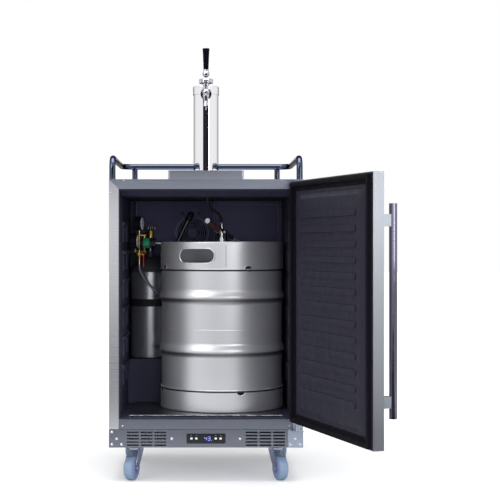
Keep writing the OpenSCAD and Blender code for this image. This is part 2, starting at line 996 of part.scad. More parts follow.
module base_frame() {
  inset_w = half_w - base_inset;
  color("darkgray") difference() {
    slab([-inset_w, inset_w], [base_front, case_d - base_inset], [caster_h, z_case]);
    slab([base_wall - inset_w, inset_w - base_wall], [base_front - over, case_d - base_inset - base_wall],
      [caster_h + base_wall, z_case - base_wall]);
    slab([base_wall + base_flange - inset_w, inset_w - base_wall - base_flange],
      [base_front - over, case_d - base_inset - base_wall - base_flange],
      [z_case - base_wall - over, z_case + over]);
    slab([bay_x, bay_x_end], [bay_front, case_d - base_inset - base_wall - over],
      [z_case - base_wall - over, z_case + over]);
    for (x = [-1, 1]) {
      caster_bolts(x, caster_front_x, caster_front_d);
      caster_bolts(x, caster_rear_x, caster_rear_d);
    }
  }
}

module caster_bolts(side, x, d) {
  reach = plate_w / 2 - bolt_in;
  for (bx = [-1, 1], bd = [-1, 1])
    rod_z(bolt_r, side * x + bx * reach, d + bd * reach, [caster_h - over, caster_h + base_wall + over]);
}

module toe_grille() {
  z_high = z_case - base_seam;
  panel_z = caster_h + panel_rise;
  first_z = caster_h + slot_rise;
  color("silver") difference() {
    union() {
      slab([-half_w, half_w], [0, toe_t], [caster_h, z_high]);
      upright(panel_w + 2 * rim_w, panel_h + 2 * rim_w, panel_r + rim_w, 0, [-rim_t, toe_t], panel_z);
    }
    upright(panel_w + 2 * air, panel_h + 2 * air, panel_r, 0, [-rim_t - over, toe_t + over], panel_z);
    for (s = [-1, 1], c = [0:slot_col_n - 1], r = [0:slot_n - 1])
      upright(slot_w, slot_h, slot_h / 2 - seam_w / 2,
        s * (slot_first + slot_w / 2 + c * slot_step), [-over, toe_t + over],
        first_z + slot_h / 2 + r * slot_pitch - slot_h / 2);
    screw_places_toe() cylinder(r = plug_r / 2, h = toe_t + 2 * over);
  }
}

module control_panel() {
  panel_z = caster_h + panel_rise;
  color("black") difference() {
    upright(panel_w, panel_h, panel_r, 0, [-panel_proud, panel_depth], panel_z);
    for (x = [-button_x2, -button_x1, button_x1, button_x2])
      upright(button_w + 2 * air, button_h + 2 * air, seam_w, x,
        [-panel_proud - over, button_len + button_travel], panel_z);
    upright(window_w, window_h, seam_w, 0, [-panel_proud - over, window_t - panel_proud], panel_z);
  }
}

module button(x) {
  color("whitesmoke") upright(button_w, button_h, seam_w, x,
    [-panel_proud - button_out, button_len - button_out - air], caster_h + panel_rise);
}

module button_power() {
  button(-button_x2);
}

module button_light() {
  button(-button_x1);
}

module button_down() {
  button(button_x1);
}

module button_up() {
  button(button_x2);
}

// Screw places: each module puts its child at every place, with its axis into the metal

module into_front(x, z, d) {
  at(x, d, z) rotate([-90, 0, 0]) children();
}

module screw_places_frame() {
  into_front(frame_plug_in - half_w, z_top - frame_plug_far, -over / 2) children();
  into_front(frame_plug_in + frame_plug_far - half_w, z_top - frame_plug_in, -over / 2) children();
  for (s = [-1, 1]) into_front(s * (half_w - frame_plug_far), z_case + frame_plug_low, -over / 2) children();
}

module screw_places_toe() {
  for (q = [[toe_screw_in, toe_screw_up], [toe_screw_mid, toe_screw_mid_z], [toe_screw_in, toe_screw_down],
    [toe_screw_far, toe_screw_down]]) into_front(q[0] - half_w, caster_h + q[1], -over) children();
  for (s = [-1, 1]) into_front(s * toe_screw_inner, caster_h + toe_screw_mid_z, -over) children();
}

module screw_places_bracket() {
  for (q = [[toe_screw_mid, toe_screw_mid_z], [toe_screw_in, toe_screw_down],
    [toe_screw_far, toe_screw_down]]) into_front(half_w - q[0], caster_h + q[1], -over) children();
}

module screw_places_cover() {
  into_front(cover_x + cover_screw_in, z_ceiling - cover_screw_drop, cover_front - over) children();
  into_front(cover_x_end - cover_screw_in, z_ceiling - cover_screw_drop, cover_front - over) children();
  into_front(cover_screw_x, z_ceiling - cover_screw_mid_drop, cover_front - over) children();
}

// Domed head standing on a surface that lies under the screw place
module screw_head(r, lift, face) {
  dome = (r * r + lift * lift) / (2 * lift);
  translate([0, 0, face - lift]) intersection() {
    cylinder(r = r, h = lift);
    translate([0, 0, dome]) sphere(r = dome);
  }
}

module case_screws() {
  color("gainsboro") {
    screw_places_frame() screw_head(plug_r, plug_head, over / 2);
    screw_places_toe() screw_head(screw_r, screw_head, over);
    screw_places_bracket() screw_head(screw_r, screw_head, over - hinge_plate_t);
    screw_places_cover() screw_head(plug_r, screw_head, over);
  }
}

// Hinge brackets with their pins

hinge_x = half_w - hinge_in;
door_low = z_top - door_drop - door_h;
door_top = z_top - door_drop;

module hinge_leaf(z) {
  x_end = half_w - bracket_x_in;
  slab([x_end - leaf_w, x_end], [-leaf_len, 0], [z, z + leaf_t]);
}

module hinge_brackets() {
  x_end = half_w - bracket_x_in;
  leaf_z = z_case - base_seam - leaf_t;
  upper_z = door_top + leaf_gap;
  color("silver") {
    slab([x_end - hinge_plate_w, x_end], [-hinge_plate_t, 0], [caster_h, z_case - base_seam]);
    hinge_leaf(leaf_z);
    at(hinge_x, -hinge_out, leaf_z + leaf_t)
      cylinder(r1 = collar_r, r2 = collar_top_r, h = door_low - leaf_z - leaf_t - collar_gap);
    rod_z(pin_r, hinge_x, -hinge_out, [leaf_z, door_low + pin_in_door]);
    slab([x_end - hinge_plate_w, x_end], [-hinge_plate_t, 0], [z_top - upper_plate_h, z_top]);
    hinge_leaf(upper_z);
    rod_z(pin_r, hinge_x, -hinge_out, [door_top - pin_in_door, upper_z + leaf_t]);
  }
}

// Door, built closed and then opened about its hinge

module in_door() {
  at(hinge_x, -hinge_out, 0) rotate([0, 0, door_open])
    translate([-hinge_x, hinge_out - front_y, 0]) children();
}

door_x = door_w / 2;
door_in = -door_gap;
door_out = -door_gap - door_t;

module hinge_blocks(grow) {
  for (z = [[door_low + door_sheet - over / 2, door_low + door_sheet + pin_in_door + grow],
    [door_top - door_sheet - pin_in_door - grow, door_top - door_sheet + over / 2]])
    slab([hinge_x - hinge_block[0] / 2 - grow, door_x - door_sheet + over / 2],
      [-hinge_out - hinge_block[1] / 2 - grow, -hinge_out + hinge_block[1] / 2 - over + grow], z);
}

module door_skin() {
  color("silver") in_door() difference() {
    union() {
      difference() {
        slab([-door_x, door_x], [door_out, door_in], [door_low, door_top]);
        slab([door_sheet - door_x, door_x - door_sheet], [door_out + door_sheet, door_in - door_sheet],
          [door_low + door_sheet, door_top - door_sheet]);
        slab([door_lip - door_x, door_x - door_lip], [door_in - 2 * door_sheet, door_in + over],
          [door_low + door_lip, door_top - door_lip]);
      }
      hinge_blocks(0);
    }
    rod_z(pin_r + fit, hinge_x, -hinge_out, [door_low - over, door_low + pin_in_door + air]);
    rod_z(pin_r + fit, hinge_x, -hinge_out, [door_top - pin_in_door - air, door_top + over]);
  }
}

module door_foam() {
  color("khaki") in_door() difference() {
    slab([door_sheet - door_x, door_x - door_sheet], [door_out + door_sheet, door_in - door_sheet],
      [door_low + door_sheet, door_top - door_sheet]);
    hinge_blocks(0);
    rod_z(pin_r + fit, hinge_x, -hinge_out, [door_low - over, door_low + pin_in_door + air]);
    rod_z(pin_r + fit, hinge_x, -hinge_out, [door_top - pin_in_door - air, door_top + over]);
  }
}

module door_field(grow, d) {
  x_low = field_free_in - door_x + grow;
  x_high = door_x - field_hinge_in - grow;
  high = door_h - 2 * field_end_in - 2 * grow;
  upright(x_high - x_low, high, field_r, (x_low + x_high) / 2, d, (door_low + door_top) / 2);
}

module door_liner() {
  base_out = door_in + door_liner_t;
  rib_x_low = rib_free_in - door_x;
  rib_x_high = door_x - rib_hinge_in;
  color("dimgray") in_door() {
    slab([door_liner_in - door_x, door_x - door_liner_in], [door_in, base_out],
      [door_low + door_liner_in, door_top - door_liner_in]);
    hull() {
      door_field(0, [base_out - seam_depth, base_out]);
      door_field(field_draft, [base_out, base_out + field_h]);
    }
    for (i = [0:rib_n - 1]) upright(rib_x_high - rib_x_low, rib_h, rib_h / 2 - seam_w,
      (rib_x_low + rib_x_high) / 2, [base_out, base_out + field_h + rib_proud],
      door_top - rib_top - i * rib_pitch);
  }
}

// Closed ring of a rounded outline, drawn in by the distance grow from the gasket's outer line
module gasket_outline(grow) {
  x_low = gasket_in - door_x + grow;
  x_high = door_x - gasket_hinge_in - grow;
  translate([(x_low + x_high) / 2, (door_low + door_top) / 2])
    rounded(x_high - x_low, door_h - 2 * gasket_in - 2 * grow, max(gasket_r - grow, gasket_r / 4));
}

module gasket_ring(from, to, d) {
  at(0, d[1], 0) rotate([90, 0, 0]) linear_extrude(d[1] - d[0]) difference() {
    gasket_outline(from);
    gasket_outline(to);
  }
}

module door_gasket() {
  base_out = door_in + door_liner_t;
  color("black") in_door() {
    gasket_ring(0, gasket_w - gasket_base_w, [base_out, -gasket_clear]);
    gasket_ring(gasket_w - gasket_base_w, gasket_w, [base_out, base_out + gasket_base_t]);
  }
}

module door_handle() {
  x = handle_in - door_x;
  d = door_out - handle_out;
  z_high = door_top - handle_top;
  color("gainsboro") in_door() {
    rod_z(handle_r, x, d, [z_high - handle_len, z_high]);
    for (z = [z_high - post_in, z_high - handle_len + post_in])
      slab([x - post_w / 2, x + post_w / 2], [d + handle_r - post_bite, door_out],
        [z - post_h / 2, z + post_h / 2]);
  }
}

// Guard rail of bent bar

module bend(radius) {
  rotate_extrude(angle = 90) translate([radius, 0]) circle(r = rail_r);
}

module guard_rail() {
  x = half_w - rail_in;
  z = z_top + rail_h;
  color("slategray") {
    for (s = [-1, 1]) {
      rod_z(rail_r, s * x, rail_front_d, [z_top, z - rail_bend]);
      at(s * x, rail_front_d + rail_bend, z - rail_bend) rotate([90, 0, -90]) bend(rail_bend);
      rod_d(rail_r, s * x, [rail_front_d + rail_bend, rail_back_d - rail_corner], z);
      at(s * (x - rail_corner), rail_back_d - rail_corner, z) rotate(s > 0 ? 0 : 90) bend(rail_corner);
      rod_z(rail_r - post_slim, s * (half_w - rail_post_in), rail_back_d, [z_top, z]);
    }
    rod_x(rail_r, [rail_corner - x, x - rail_corner], rail_back_d, z);
  }
}

// Tower

z_tap = z_top + tap_h;
z_pivot = z_tap + lever_arm;

module tower_column() {
  z_high = z_top + tower_h - cap_t - air;
  color("gainsboro") difference() {
    union() {
      rod_z(tower_r, 0, tower_d, [z_top, z_high]);
      rod_z(base_flange_r, 0, tower_d, [z_top, z_top + base_flange_t]);
    }
    rod_z(tower_r - tower_wall, 0, tower_d, [z_top + base_flange_t, z_high + over]);
    rod_z(line_hole_r, 0, tower_d, [z_top - over, z_top + base_flange_t + over]);
    rod_d(shank_r + fit, 0, [tower_d - tower_r - over, tower_d], z_tap);
  }
}

module tower_cap() {
  z_high = z_top + tower_h;
  color("gainsboro") difference() {
    union() {
      rod_z(cap_r, 0, tower_d, [z_high - cap_h, z_high - cap_dome]);
      at(0, tower_d, z_high - cap_dome) rotate_extrude() polygon(concat([[0, 0]],
        [for (a = [0:15:90]) [cap_r - cap_dome + cap_dome * cos(a), cap_dome * sin(a)]],
        [[0, cap_dome]]));
    }
    rod_z(tower_r + fit, 0, tower_d, [z_high - cap_h - over, z_high - cap_t]);
    rod_d(nut_r + air, 0, [tower_d - cap_r - over, tower_d - collar_in], z_tap);
  }
}

module fluted(r, flute_r, n, h) {
  difference() {
    cylinder(r = r, h = h);
    for (i = [0:n - 1]) rotate([0, 0, 360 * (i + 0.5) / n]) translate([r + flute_r / 2, 0, -over])
      cylinder(r = flute_r, h = h + 2 * over);
  }
}

module tap_shank() {
  face = tower_d - tower_r;
  color("gainsboro") difference() {
    union() {
      difference() {
        rod_d(nut_r, 0, [nut_back, face + collar_in], z_tap);
        rod_z(tower_r + fit, 0, tower_d, [z_tap - cap_r, z_tap + cap_r]);
      }
      rod_d(shank_r, 0, [nut_back, face + shank_in], z_tap);
      rod_d(barb_r, 0, [face + shank_in, face + shank_in + barb_len], z_tap);
      difference() {
        rod_d(shank_nut_r, 0, [face + 2 * over, face + 2 * over + shank_nut_t], z_tap);
        difference() {
          rod_z(tower_r + over, 0, tower_d, [z_tap - cap_r, z_tap + cap_r]);
          rod_z(tower_r - tower_wall - fit, 0, tower_d, [z_tap - cap_r - over, z_tap + cap_r + over]);
        }
      }
    }
    rod_d(shank_bore, 0, [nut_front, face + shank_in + barb_len + over], z_tap);
  }
  color("gainsboro") difference() {
    at(0, nut_front, z_tap) rotate([-90, 0, 0]) fluted(nut_r, nut_flute_r, nut_flute_n, nut_back - nut_front);
    rod_d(body_r + fit, 0, [nut_front - over, nut_back], z_tap);
  }
}

// Faucet

module faucet_body() {
  spout_low = z_tap - spout_z;
  color("gainsboro") difference() {
    union() {
      rod_d(body_r, 0, [body_front, body_tail], z_tap);
      at(0, body_front, z_tap) sphere(r = body_r);
      at(0, spout_d, spout_low) cylinder(r1 = spout_end_r, r2 = spout_neck_r, h = spout_neck_rise);
      at(0, spout_d, spout_low + spout_neck_rise)
        cylinder(r1 = spout_neck_r, r2 = spout_top_r, h = spout_shoulder);
      rod_z(spout_top_r, 0, spout_d, [spout_low + spout_neck_rise + spout_shoulder, z_tap]);
      rod_z(throat_r, 0, lever_d, [z_tap, z_pivot + throat_top]);
    }
    rod_z(spout_bore, 0, spout_d, [spout_low - over, z_tap]);
    rod_z(mouth_r, 0, spout_d, [spout_low - over, spout_low + mouth_depth]);
    rod_z(throat_bore, 0, lever_d, [z_tap, z_pivot + throat_top + over]);
    rod_d(shaft_r + fit, 0, [spout_d, body_tail + over], z_tap);
    rod_d(chamber_r, 0, [chamber_front, body_tail + over], z_tap);
    rod_x(pivot_pin_r + fit, [-throat_r - over, throat_r + over], lever_d, z_pivot);
    slab([-throat_bore / 2, throat_bore / 2], [lever_d - stem_r - air, lever_d + throat_bore + stem_r],
      [z_tap - shaft_r, z_tap + body_r - over]);
  }
}

module faucet_bonnet() {
  low = z_pivot - over;
  color("gainsboro") difference() {
    union() {
      rod_z(bonnet_neck_r, 0, lever_d, [low, low + bonnet_low + over]);
      at(0, lever_d, low + bonnet_low + over) fluted(bonnet_r, bonnet_flute_r, bonnet_flute_n, bonnet_wall);
      at(0, lever_d, low + bonnet_low + over + bonnet_wall) rotate_extrude() polygon(concat([[0, 0]],
        [for (a = [0:10:90]) [bonnet_top_r + (bonnet_r - bonnet_top_r) * cos(a),
          (bonnet_top - bonnet_low - bonnet_wall) * sin(a)]],
        [[0, bonnet_top - bonnet_low - bonnet_wall]]));
    }
    rod_z(throat_r + fit, 0, lever_d, [low - over, z_pivot + throat_top + air]);
    at(0, lever_d, z_pivot + throat_top) cylinder(r1 = throat_bore, r2 = bonnet_mouth_r,
      h = bonnet_top - throat_top);
    rod_z(bonnet_mouth_r, 0, lever_d, [z_pivot + bonnet_top - over / 2, z_pivot + bonnet_top + over]);
  }
}

module faucet_shaft() {
  color("silver") difference() {
    union() {
      rod_d(shaft_r, 0, [shaft_front, shaft_end], z_tap);
      rod_d(disc_r, 0, [shaft_end - disc_t, shaft_end], z_tap);
    }
    slab([-disc_r, disc_r], [lever_d - stem_r - notch_gap, lever_d + stem_r + notch_gap],
      [z_tap - notch_floor + air, z_tap + disc_r]);
  }
}

module tap_lever() {
  color("gainsboro") {
    at(0, lever_d, z_tap) sphere(r = stem_r);
    rod_z(tip_r, 0, lever_d, [z_tap, z_pivot]);
    at(0, lever_d, z_pivot) sphere(r = pivot_r);
    rod_x(pivot_pin_r, [air - throat_r, throat_r - air], lever_d, z_pivot);
    rod_z(stem_r, 0, lever_d, [z_pivot, z_pivot + ball_rise]);
    at(0, lever_d, z_pivot + ball_rise) sphere(r = ball_r);
    rod_z(ferrule_r, 0, lever_d, [z_pivot + ferrule_rise, z_pivot + ferrule_rise + ferrule_h]);
    rod_z(stem_r, 0, lever_d, [z_pivot + ferrule_rise, z_pivot + ferrule_rise + ferrule_h + stud_len]);
  }
}

module tap_handle() {
  low = z_pivot + ferrule_rise + ferrule_h;
  cone_h = grip_h - grip_cap_h;
  color("black") difference() {
    union() {
      at(0, lever_d, low) cylinder(r1 = grip_low_r, r2 = grip_high_r, h = cone_h);
      at(0, lever_d, low + cone_h) cylinder(r1 = grip_cap_r, r2 = grip_high_r, h = grip_cap_h);
    }
    at(0, lever_d, low) for (i = [0:grip_flute_n - 1]) rotate([0, 0, 360 * i / grip_flute_n])
      translate([grip_low_r + grip_flute_r * 0.6, 0, grip_cap_h])
        rotate([0, atan((grip_high_r - grip_low_r) / cone_h), 0])
          cylinder(r = grip_flute_r, h = cone_h - 2 * grip_cap_h);
    rod_z(stem_r + fit, 0, lever_d, [low - over, low + stud_len + air]);
  }
}

// Drip tray

module drip_tray() {
  mid = tray_front + tray_d / 2;
  low = z_top + seat_gap;
  color("silver") difference() {
    union() {
      difference() {
        level(tray_w, tray_d, tray_r, 0, mid, [low, low + tray_h]);
        level(tray_w - 2 * tray_wall, tray_d - 2 * tray_wall, tray_r - tray_wall, 0, mid,
          [low + tray_wall, low + tray_h + over]);
      }
      difference() {
        level(tray_w - tray_wall, tray_d - tray_wall, tray_r - tray_wall / 2, 0, mid,
          [low + tray_h - grid_drop - grid_t - rest_w, low + tray_h - grid_drop - grid_t - seat_gap]);
        level(tray_w - 2 * tray_wall - 2 * rest_w, tray_d - 2 * tray_wall - 2 * rest_w, tray_r / 2, 0, mid,
          [low, low + tray_h]);
      }
    }
  }
}

module drip_grid() {
  mid = tray_front + tray_d / 2;
  high = z_top + seat_gap + tray_h - grid_drop;
  inner_d = tray_d - 2 * tray_wall - 2 * air;
  inner_w = tray_w - 2 * tray_wall - 2 * air;
  field_d = inner_d - 2 * grid_margin;
  pitch = field_d / (grid_slot_n - 1);
  color("gray") difference() {
    level(inner_w, inner_d, grid_r, 0, mid, [high - grid_t, high]);
    for (i = [0:grid_slot_n - 1], s = [-1, 1])
      level(inner_w / 2 - grid_margin * 1.5, grid_slot_w, grid_slot_w / 2 - seam_w, s * inner_w / 4,
        mid - field_d / 2 + i * pitch, [high - grid_t - over, high + over]);
  }
}

// Keg: a turned shell with rolled ribs, rims, grip holes and drain holes

function bulge(z, mid) = abs(z - mid) < rib_half ? rib_out * pow(cos(90 * (z - mid) / rib_half), 2) : 0;
function wall_r(z) = keg_body_r + bulge(z, rib_low) + bulge(z, rib_high);

module keg_profile(grow) {
  heights = concat([low_chime], [for (k = [-4:4]) rib_low + rib_half * k / 4],
    [for (k = [-4:4]) rib_high + rib_half * k / 4], [high_chime]);
  dome_r = keg_body_r - joint_in;
  polygon(concat([[0, keg_floor + grow]],
    [for (a = [80:-10:10]) [(dome_r - grow) * cos(a), low_chime - (low_chime - keg_floor - grow) * sin(a)]],
    [for (z = heights) [wall_r(z) - grow, z]],
    [for (a = [10:10:80]) [(dome_r - grow) * cos(a), high_chime + (keg_dome - grow) * sin(a)]],
    [[0, high_chime + keg_dome - grow]]));
}

module chime(low, high) {
  rotate_extrude() translate([chime_r - chime_t, low]) square([chime_t, high - low]);
}

module slot_through(w, h, depth) {
  rotate([90, 0, 90]) linear_extrude(depth) rounded(w, h, h / 2 - seam_w);
}

module grip_places() {
  for (a = [handle_angle, handle_angle + 180]) rotate([0, 0, a - 90]) translate([(keg_r - grip_hole_in), 0, handle_z])
    children();
}

module keg_shell() {
  color("silver") at(keg_x, keg_d, z_plate + seat_gap / 3) {
    difference() {
      union() {
        rotate_extrude() difference() {
          keg_profile(0);
          keg_profile(keg_wall);
        }
        chime(rim_r, low_chime + chime_t);
        chime(high_chime - chime_t, keg_h - rim_r);
        for (z = [rim_r, keg_h - rim_r]) translate([0, 0, z]) rotate_extrude()
          translate([chime_r - rim_r, 0]) circle(r = rim_r);
        intersection() {
          grip_places() slot_through(handle_w + 2 * bead_r, handle_h + 2 * bead_r, keg_r);
          rotate_extrude() translate([chime_r - chime_t - over, high_chime])
            square([chime_t + 2 * over, keg_h - high_chime]);
        }
        translate([0, 0, high_chime]) cylinder(r = keg_neck_r, h = keg_neck_h - high_chime);
        rotate_extrude() translate([keg_body_r, weld_z]) circle(r = weld_r);
      }
      grip_places() slot_through(handle_w, handle_h, keg_r);
      for (a = [0:90:270]) {
        rotate([0, 0, vent_high_angle + a - 90]) translate([chime_r - joint_in - bead_r, 0,
          high_chime + vent_r / 2]) rotate([0, 90, 0]) cylinder(r = vent_r, h = 2 * bead_r + 2 * joint_in);
        rotate([0, 0, vent_low_angle + a - 90]) translate([chime_r - joint_in - bead_r, 0,
          low_chime - vent_r / 2]) rotate([0, 90, 0]) cylinder(r = vent_r, h = 2 * bead_r + 2 * joint_in);
      }
      translate([0, 0, keg_neck_h - keg_valve_h]) cylinder(r = keg_bore_r, h = keg_valve_h + over);
    }
    translate([0, 0, keg_neck_h - keg_valve_h - spear_len]) cylinder(r = spear_r, h = spear_len);
  }
}

// Coupler

coup_low = z_plate + seat_gap / 3 + keg_neck_h + coup_lift;
coup_pivot = coup_low + coup_pivot_rise;

module coupler_body() {
  color("gainsboro") {
    difference() {
      union() {
        rod_z(coup_foot_r, keg_x, keg_d, [coup_low, coup_low + coup_foot_h]);
        rod_z(keg_bore_r - air, keg_x, keg_d, [coup_low - keg_valve_h + over, coup_low + over]);
        at(keg_x, keg_d, coup_low + coup_foot_h)
          cylinder(r1 = coup_foot_r - over, r2 = coup_body_r, h = coup_foot_h / 2);
        rod_z(coup_body_r, keg_x, keg_d, [coup_low, coup_low + coup_body_h]);
        rod_z(coup_neck_r, keg_x, keg_d, [coup_low, coup_low + coup_barb_h]);
        rod_z(barb_r, keg_x, keg_d, [coup_low, coup_low + coup_top_h]);
        at(keg_x, keg_d, coup_low + coup_foot_h / 2) rotate([0, 0, lever_yaw]) for (s = [-1, 1])
          translate([-2 * cross_r, s * (coup_ear_x - ear_t / 2) - ear_t / 2, 0])
            cube([4 * cross_r, ear_t, coup_pivot_rise + 2 * cross_r - coup_foot_h / 2]);
        at(keg_x, keg_d, coup_low + coup_inlet_rise) rotate([0, 90 + coup_inlet_tilt, inlet_yaw])
          cylinder(r = coup_inlet_r, h = coup_inlet_len);
      }
      at(keg_x, keg_d, coup_pivot) rotate([90, 0, lever_yaw]) translate([0, 0, -coup_ear_x - over])
        cylinder(r = cross_r + fit, h = 2 * coup_ear_x + 2 * over);
      rod_z(shank_bore, keg_x, keg_d, [coup_low - keg_valve_h, coup_low + coup_top_h + over]);
    }
  }
}

module coupler_lever() {
  gap = coup_ear_x - ear_t - ear_gap;
  at(keg_x, keg_d, coup_pivot) rotate([0, lever_angle - 180, lever_yaw]) {
    color("gainsboro") {
      for (s = [-1, 1]) translate([-lever_from, s * (gap - ear_t / 2) - ear_t / 2, -lever_arm_h / 2])
        cube([lever_arm_len + lever_from, ear_t, lever_arm_h]);
      translate([lever_arm_len - ear_t, -gap, -lever_arm_h / 2]) cube([ear_t, 2 * gap, lever_arm_h]);
      rotate([90, 0, 0]) translate([0, 0, -coup_ear_x - over]) cylinder(r = cross_r,
        h = 2 * coup_ear_x + 2 * over);
    }
    color("sienna") translate([lever_arm_len, 0, 0]) rotate([0, 90, 0])
      cylinder(r1 = coup_grip_r, r2 = coup_grip_end_r, h = grip_len);
    color("white") translate([lever_arm_len + grip_len, 0, 0]) rotate([0, 90, 0])
      cylinder(r = coup_grip_end_r - seam_w, h = coup_cap_h);
  }
}

// Gas cylinder and its fittings

gas_top = z_step + gas_h + gas_shoulder;

module gas_profile(grow) {
  polygon(concat([[0, grow], [gas_r - gas_foot_r, grow]],
    [for (a = [-60:30:0]) [gas_r - gas_foot_r + (gas_foot_r - grow) * cos(a),
      gas_foot_r + (gas_foot_r - grow) * sin(a)]],
    [for (a = [0:10:80]) [(gas_r - grow) * cos(a), gas_h + (gas_shoulder - grow) * sin(a)]],
    [[0, gas_h + gas_shoulder - grow]]));
}

module gas_cylinder() {
  color("silver") at(gas_x, gas_d, z_step + seat_gap / 3) difference() {
    union() {
      rotate_extrude() difference() {
        gas_profile(0);
        gas_profile(gas_wall);
      }
      translate([0, 0, gas_h + gas_shoulder - 2 * gas_wall])
        cylinder(r = gas_neck_r, h = gas_neck_h + 2 * gas_wall - seat_gap);
    }
    translate([0, 0, gas_h + gas_shoulder - 3 * gas_wall])
      cylinder(r = valve_stem_r + fit, h = gas_neck_h + 4 * gas_wall);
  }
}

module cylinder_strap() {
  low = z_step + strap_z;
  reach = gas_r + strap_gap;
  color("black") difference() {
    union() {
      rod_z(reach + strap_t, gas_x, gas_d, [low, low + strap_h]);
      slab([gas_x - strap_tab_w, gas_x + strap_tab_w], [cavity_d - strap_t, cavity_d], [low, low + strap_h]);
    }
    rod_z(reach, gas_x, gas_d, [low - over, low + strap_h + over]);
    slab([gas_x - gas_r, gas_x + gas_r], [cavity_d, cavity_d + gas_r], [low - over, low + strap_h + over]);
  }
}

module cylinder_valve() {
  color("goldenrod") {
    rod_z(valve_stem_r, gas_x, gas_d, [gas_top, gas_top + valve_low]);
    rod_z(gas_neck_r - fit, gas_x, gas_d, [gas_top + valve_low, gas_top + valve_mid]);
    rod_z(valve_r, gas_x, gas_d, [gas_top + valve_mid, gas_top + valve_top]);
    rod_z(valve_stem_r, gas_x, gas_d, [gas_top + valve_top, gas_top + valve_stem_top]);
    rod_d(valve_outlet_r, gas_x, [gas_d - reg_out + reg_r + reg_nut_len, gas_d], gas_top + reg_z);
  }
}

module valve_handwheel() {
  color("black") at(gas_x, gas_d, gas_top + wheel_lift) difference() {
    union() {
      cylinder(r = wheel_hand_r - wheel_lobe_r, h = wheel_hand_h);
      for (i = [0:wheel_lobe_n - 1]) rotate([0, 0, 360 * i / wheel_lobe_n])
        translate([wheel_hand_r - wheel_lobe_r, 0, 0]) cylinder(r = wheel_lobe_r, h = wheel_hand_h);
    }
    translate([0, 0, -over]) cylinder(r = valve_stem_r + fit, h = wheel_hand_h + 2 * over);
    translate([0, 0, wheel_hand_h / 2]) difference() {
      cylinder(r = wheel_hand_r - 2 * wheel_lobe_r, h = wheel_hand_h);
      cylinder(r = valve_stem_r + 2 * over, h = wheel_hand_h);
    }
  }
}

module gauge(x, z, r) {
  at(gas_x + x, gas_d - reg_out, gas_top + z) rotate([0, 0, -gauge_turn]) rotate([0, 90, 0])
    translate([0, 0, -gauge_t / 2]) difference() {
      cylinder(r = r, h = gauge_t);
      translate([0, 0, gauge_t - gauge_glass]) cylinder(r = r - gauge_glass, h = gauge_glass + over);
    }
}

module regulator() {
  d = gas_d - reg_out;
  z = gas_top + reg_z;
  low_z = gas_top + low_pipe_z;
  left = gas_x + reg_from + 2 * stem_pipe_r;
  color("darkslategray") {
    difference() {
      rod_x(reg_r, [gas_x + reg_from, gas_x + reg_to], d, z);
      rod_x(adjust_r + fit, [gas_x + reg_to - adjust_in - air, gas_x + reg_to + over], d, z);
    }
    gauge(gauge_high_x, gauge_high_z, gauge_r);
    gauge(gauge_low_x, gauge_low_z, gauge_low_r);
  }
  color("seagreen") rod_x(reg_band_r, [gas_x + reg_from + reg_band_r / 3, gas_x], d, z);
  color("goldenrod") {
    rod_d(reg_nut_r, gas_x, [d + reg_r - 2 * over, d + reg_r + reg_nut_len - air], z);
    rod_z(stem_pipe_r, gas_x + gauge_high_x, d, [gas_top + tee_z, gas_top + gauge_high_z - gauge_r + over]);
    rod_x(tee_r, [gas_x + gauge_high_x - tee_r, left + stem_pipe_r], d, gas_top + tee_z);
    rod_z(stem_pipe_r, left, d, [z, gas_top + tee_z]);
    rod_z(stem_pipe_r, gas_x + gauge_low_x, d, [low_z, gas_top + gauge_low_z - gauge_low_r + over]);
    rod_x(stem_pipe_r, [gas_x + gauge_low_x - stem_pipe_r, left + stem_pipe_r], d, low_z);
    rod_z(stem_pipe_r, left, d, [low_z, z]);
    rod_d(feed_r + over, gas_x + feed_x, [gas_d - feed_out, d], gas_top + tee_z);
    rod_z(feed_r, gas_x + feed_x, gas_d - feed_out, [gas_top + shut_top + air, gas_top + tee_z]);
  }
}

module regulator_adjuster() {
  d = gas_d - reg_out;
  z = gas_top + reg_z;
  from = gas_x + reg_to - adjust_in;
  color("silver") {
    rod_x(adjust_r, [from, from + adjust_in + screw_len], d, z);
    rod_x(adjust_knob_r, [from + adjust_in + screw_len / 2, from + adjust_in + screw_len / 2 + adjust_knob_len],
      d, z);
  }
}

module shutoff_valve() {
  x = gas_x + feed_x;
  d = gas_d - feed_out;
  axis_z = gas_top + shut_axis_z;
  color("goldenrod") {
    rod_z(shut_r, x, d, [gas_top + shut_low, gas_top + shut_top]);
    at(x, d, axis_z - shut_hex_h / 2) cylinder(r = shut_hex_r, h = shut_hex_h, $fn = 6);
    rod_x(shut_boss_r, [x, x + shut_boss_len], d, axis_z);
    rod_x(shut_pin_r, [x, x + shut_boss_len + shut_pin_len], d, axis_z);
    rod_z(nut_small_r, x, d, [gas_top + shut_low - nut_len, gas_top + shut_low]);
  }
}

module shutoff_lever() {
  x = gas_x + feed_x + shut_boss_len + air;
  d = gas_d - feed_out;
  axis_z = gas_top + shut_axis_z;
  color("red") difference() {
    union() {
      slab([x, x + red_t], [d - red_w / 2, d + red_w / 2], [axis_z - red_len, axis_z]);
      rod_x(red_w / 2 + over, [x, x + red_t], d, axis_z);
    }
    rod_x(shut_pin_r + fit, [x - over, x + red_t + over], d, axis_z);
  }
}

// Hoses

keg_top = z_plate + seat_gap / 3 + keg_h;
coup_out = coup_low + coup_top_h;
inlet_way = [cos(inlet_yaw) * cos(coup_inlet_tilt), sin(inlet_yaw) * cos(coup_inlet_tilt),
  -sin(coup_inlet_tilt)];
inlet_end = [keg_x, keg_d, coup_low + coup_inlet_rise] + (coup_inlet_len + hose_gap) * inlet_way;
gas_start = [gas_x + feed_x, gas_d - feed_out, gas_top + shut_low - nut_len - hose_gap];
line_way = [line_off - keg_x, tower_d + line_off - keg_d];

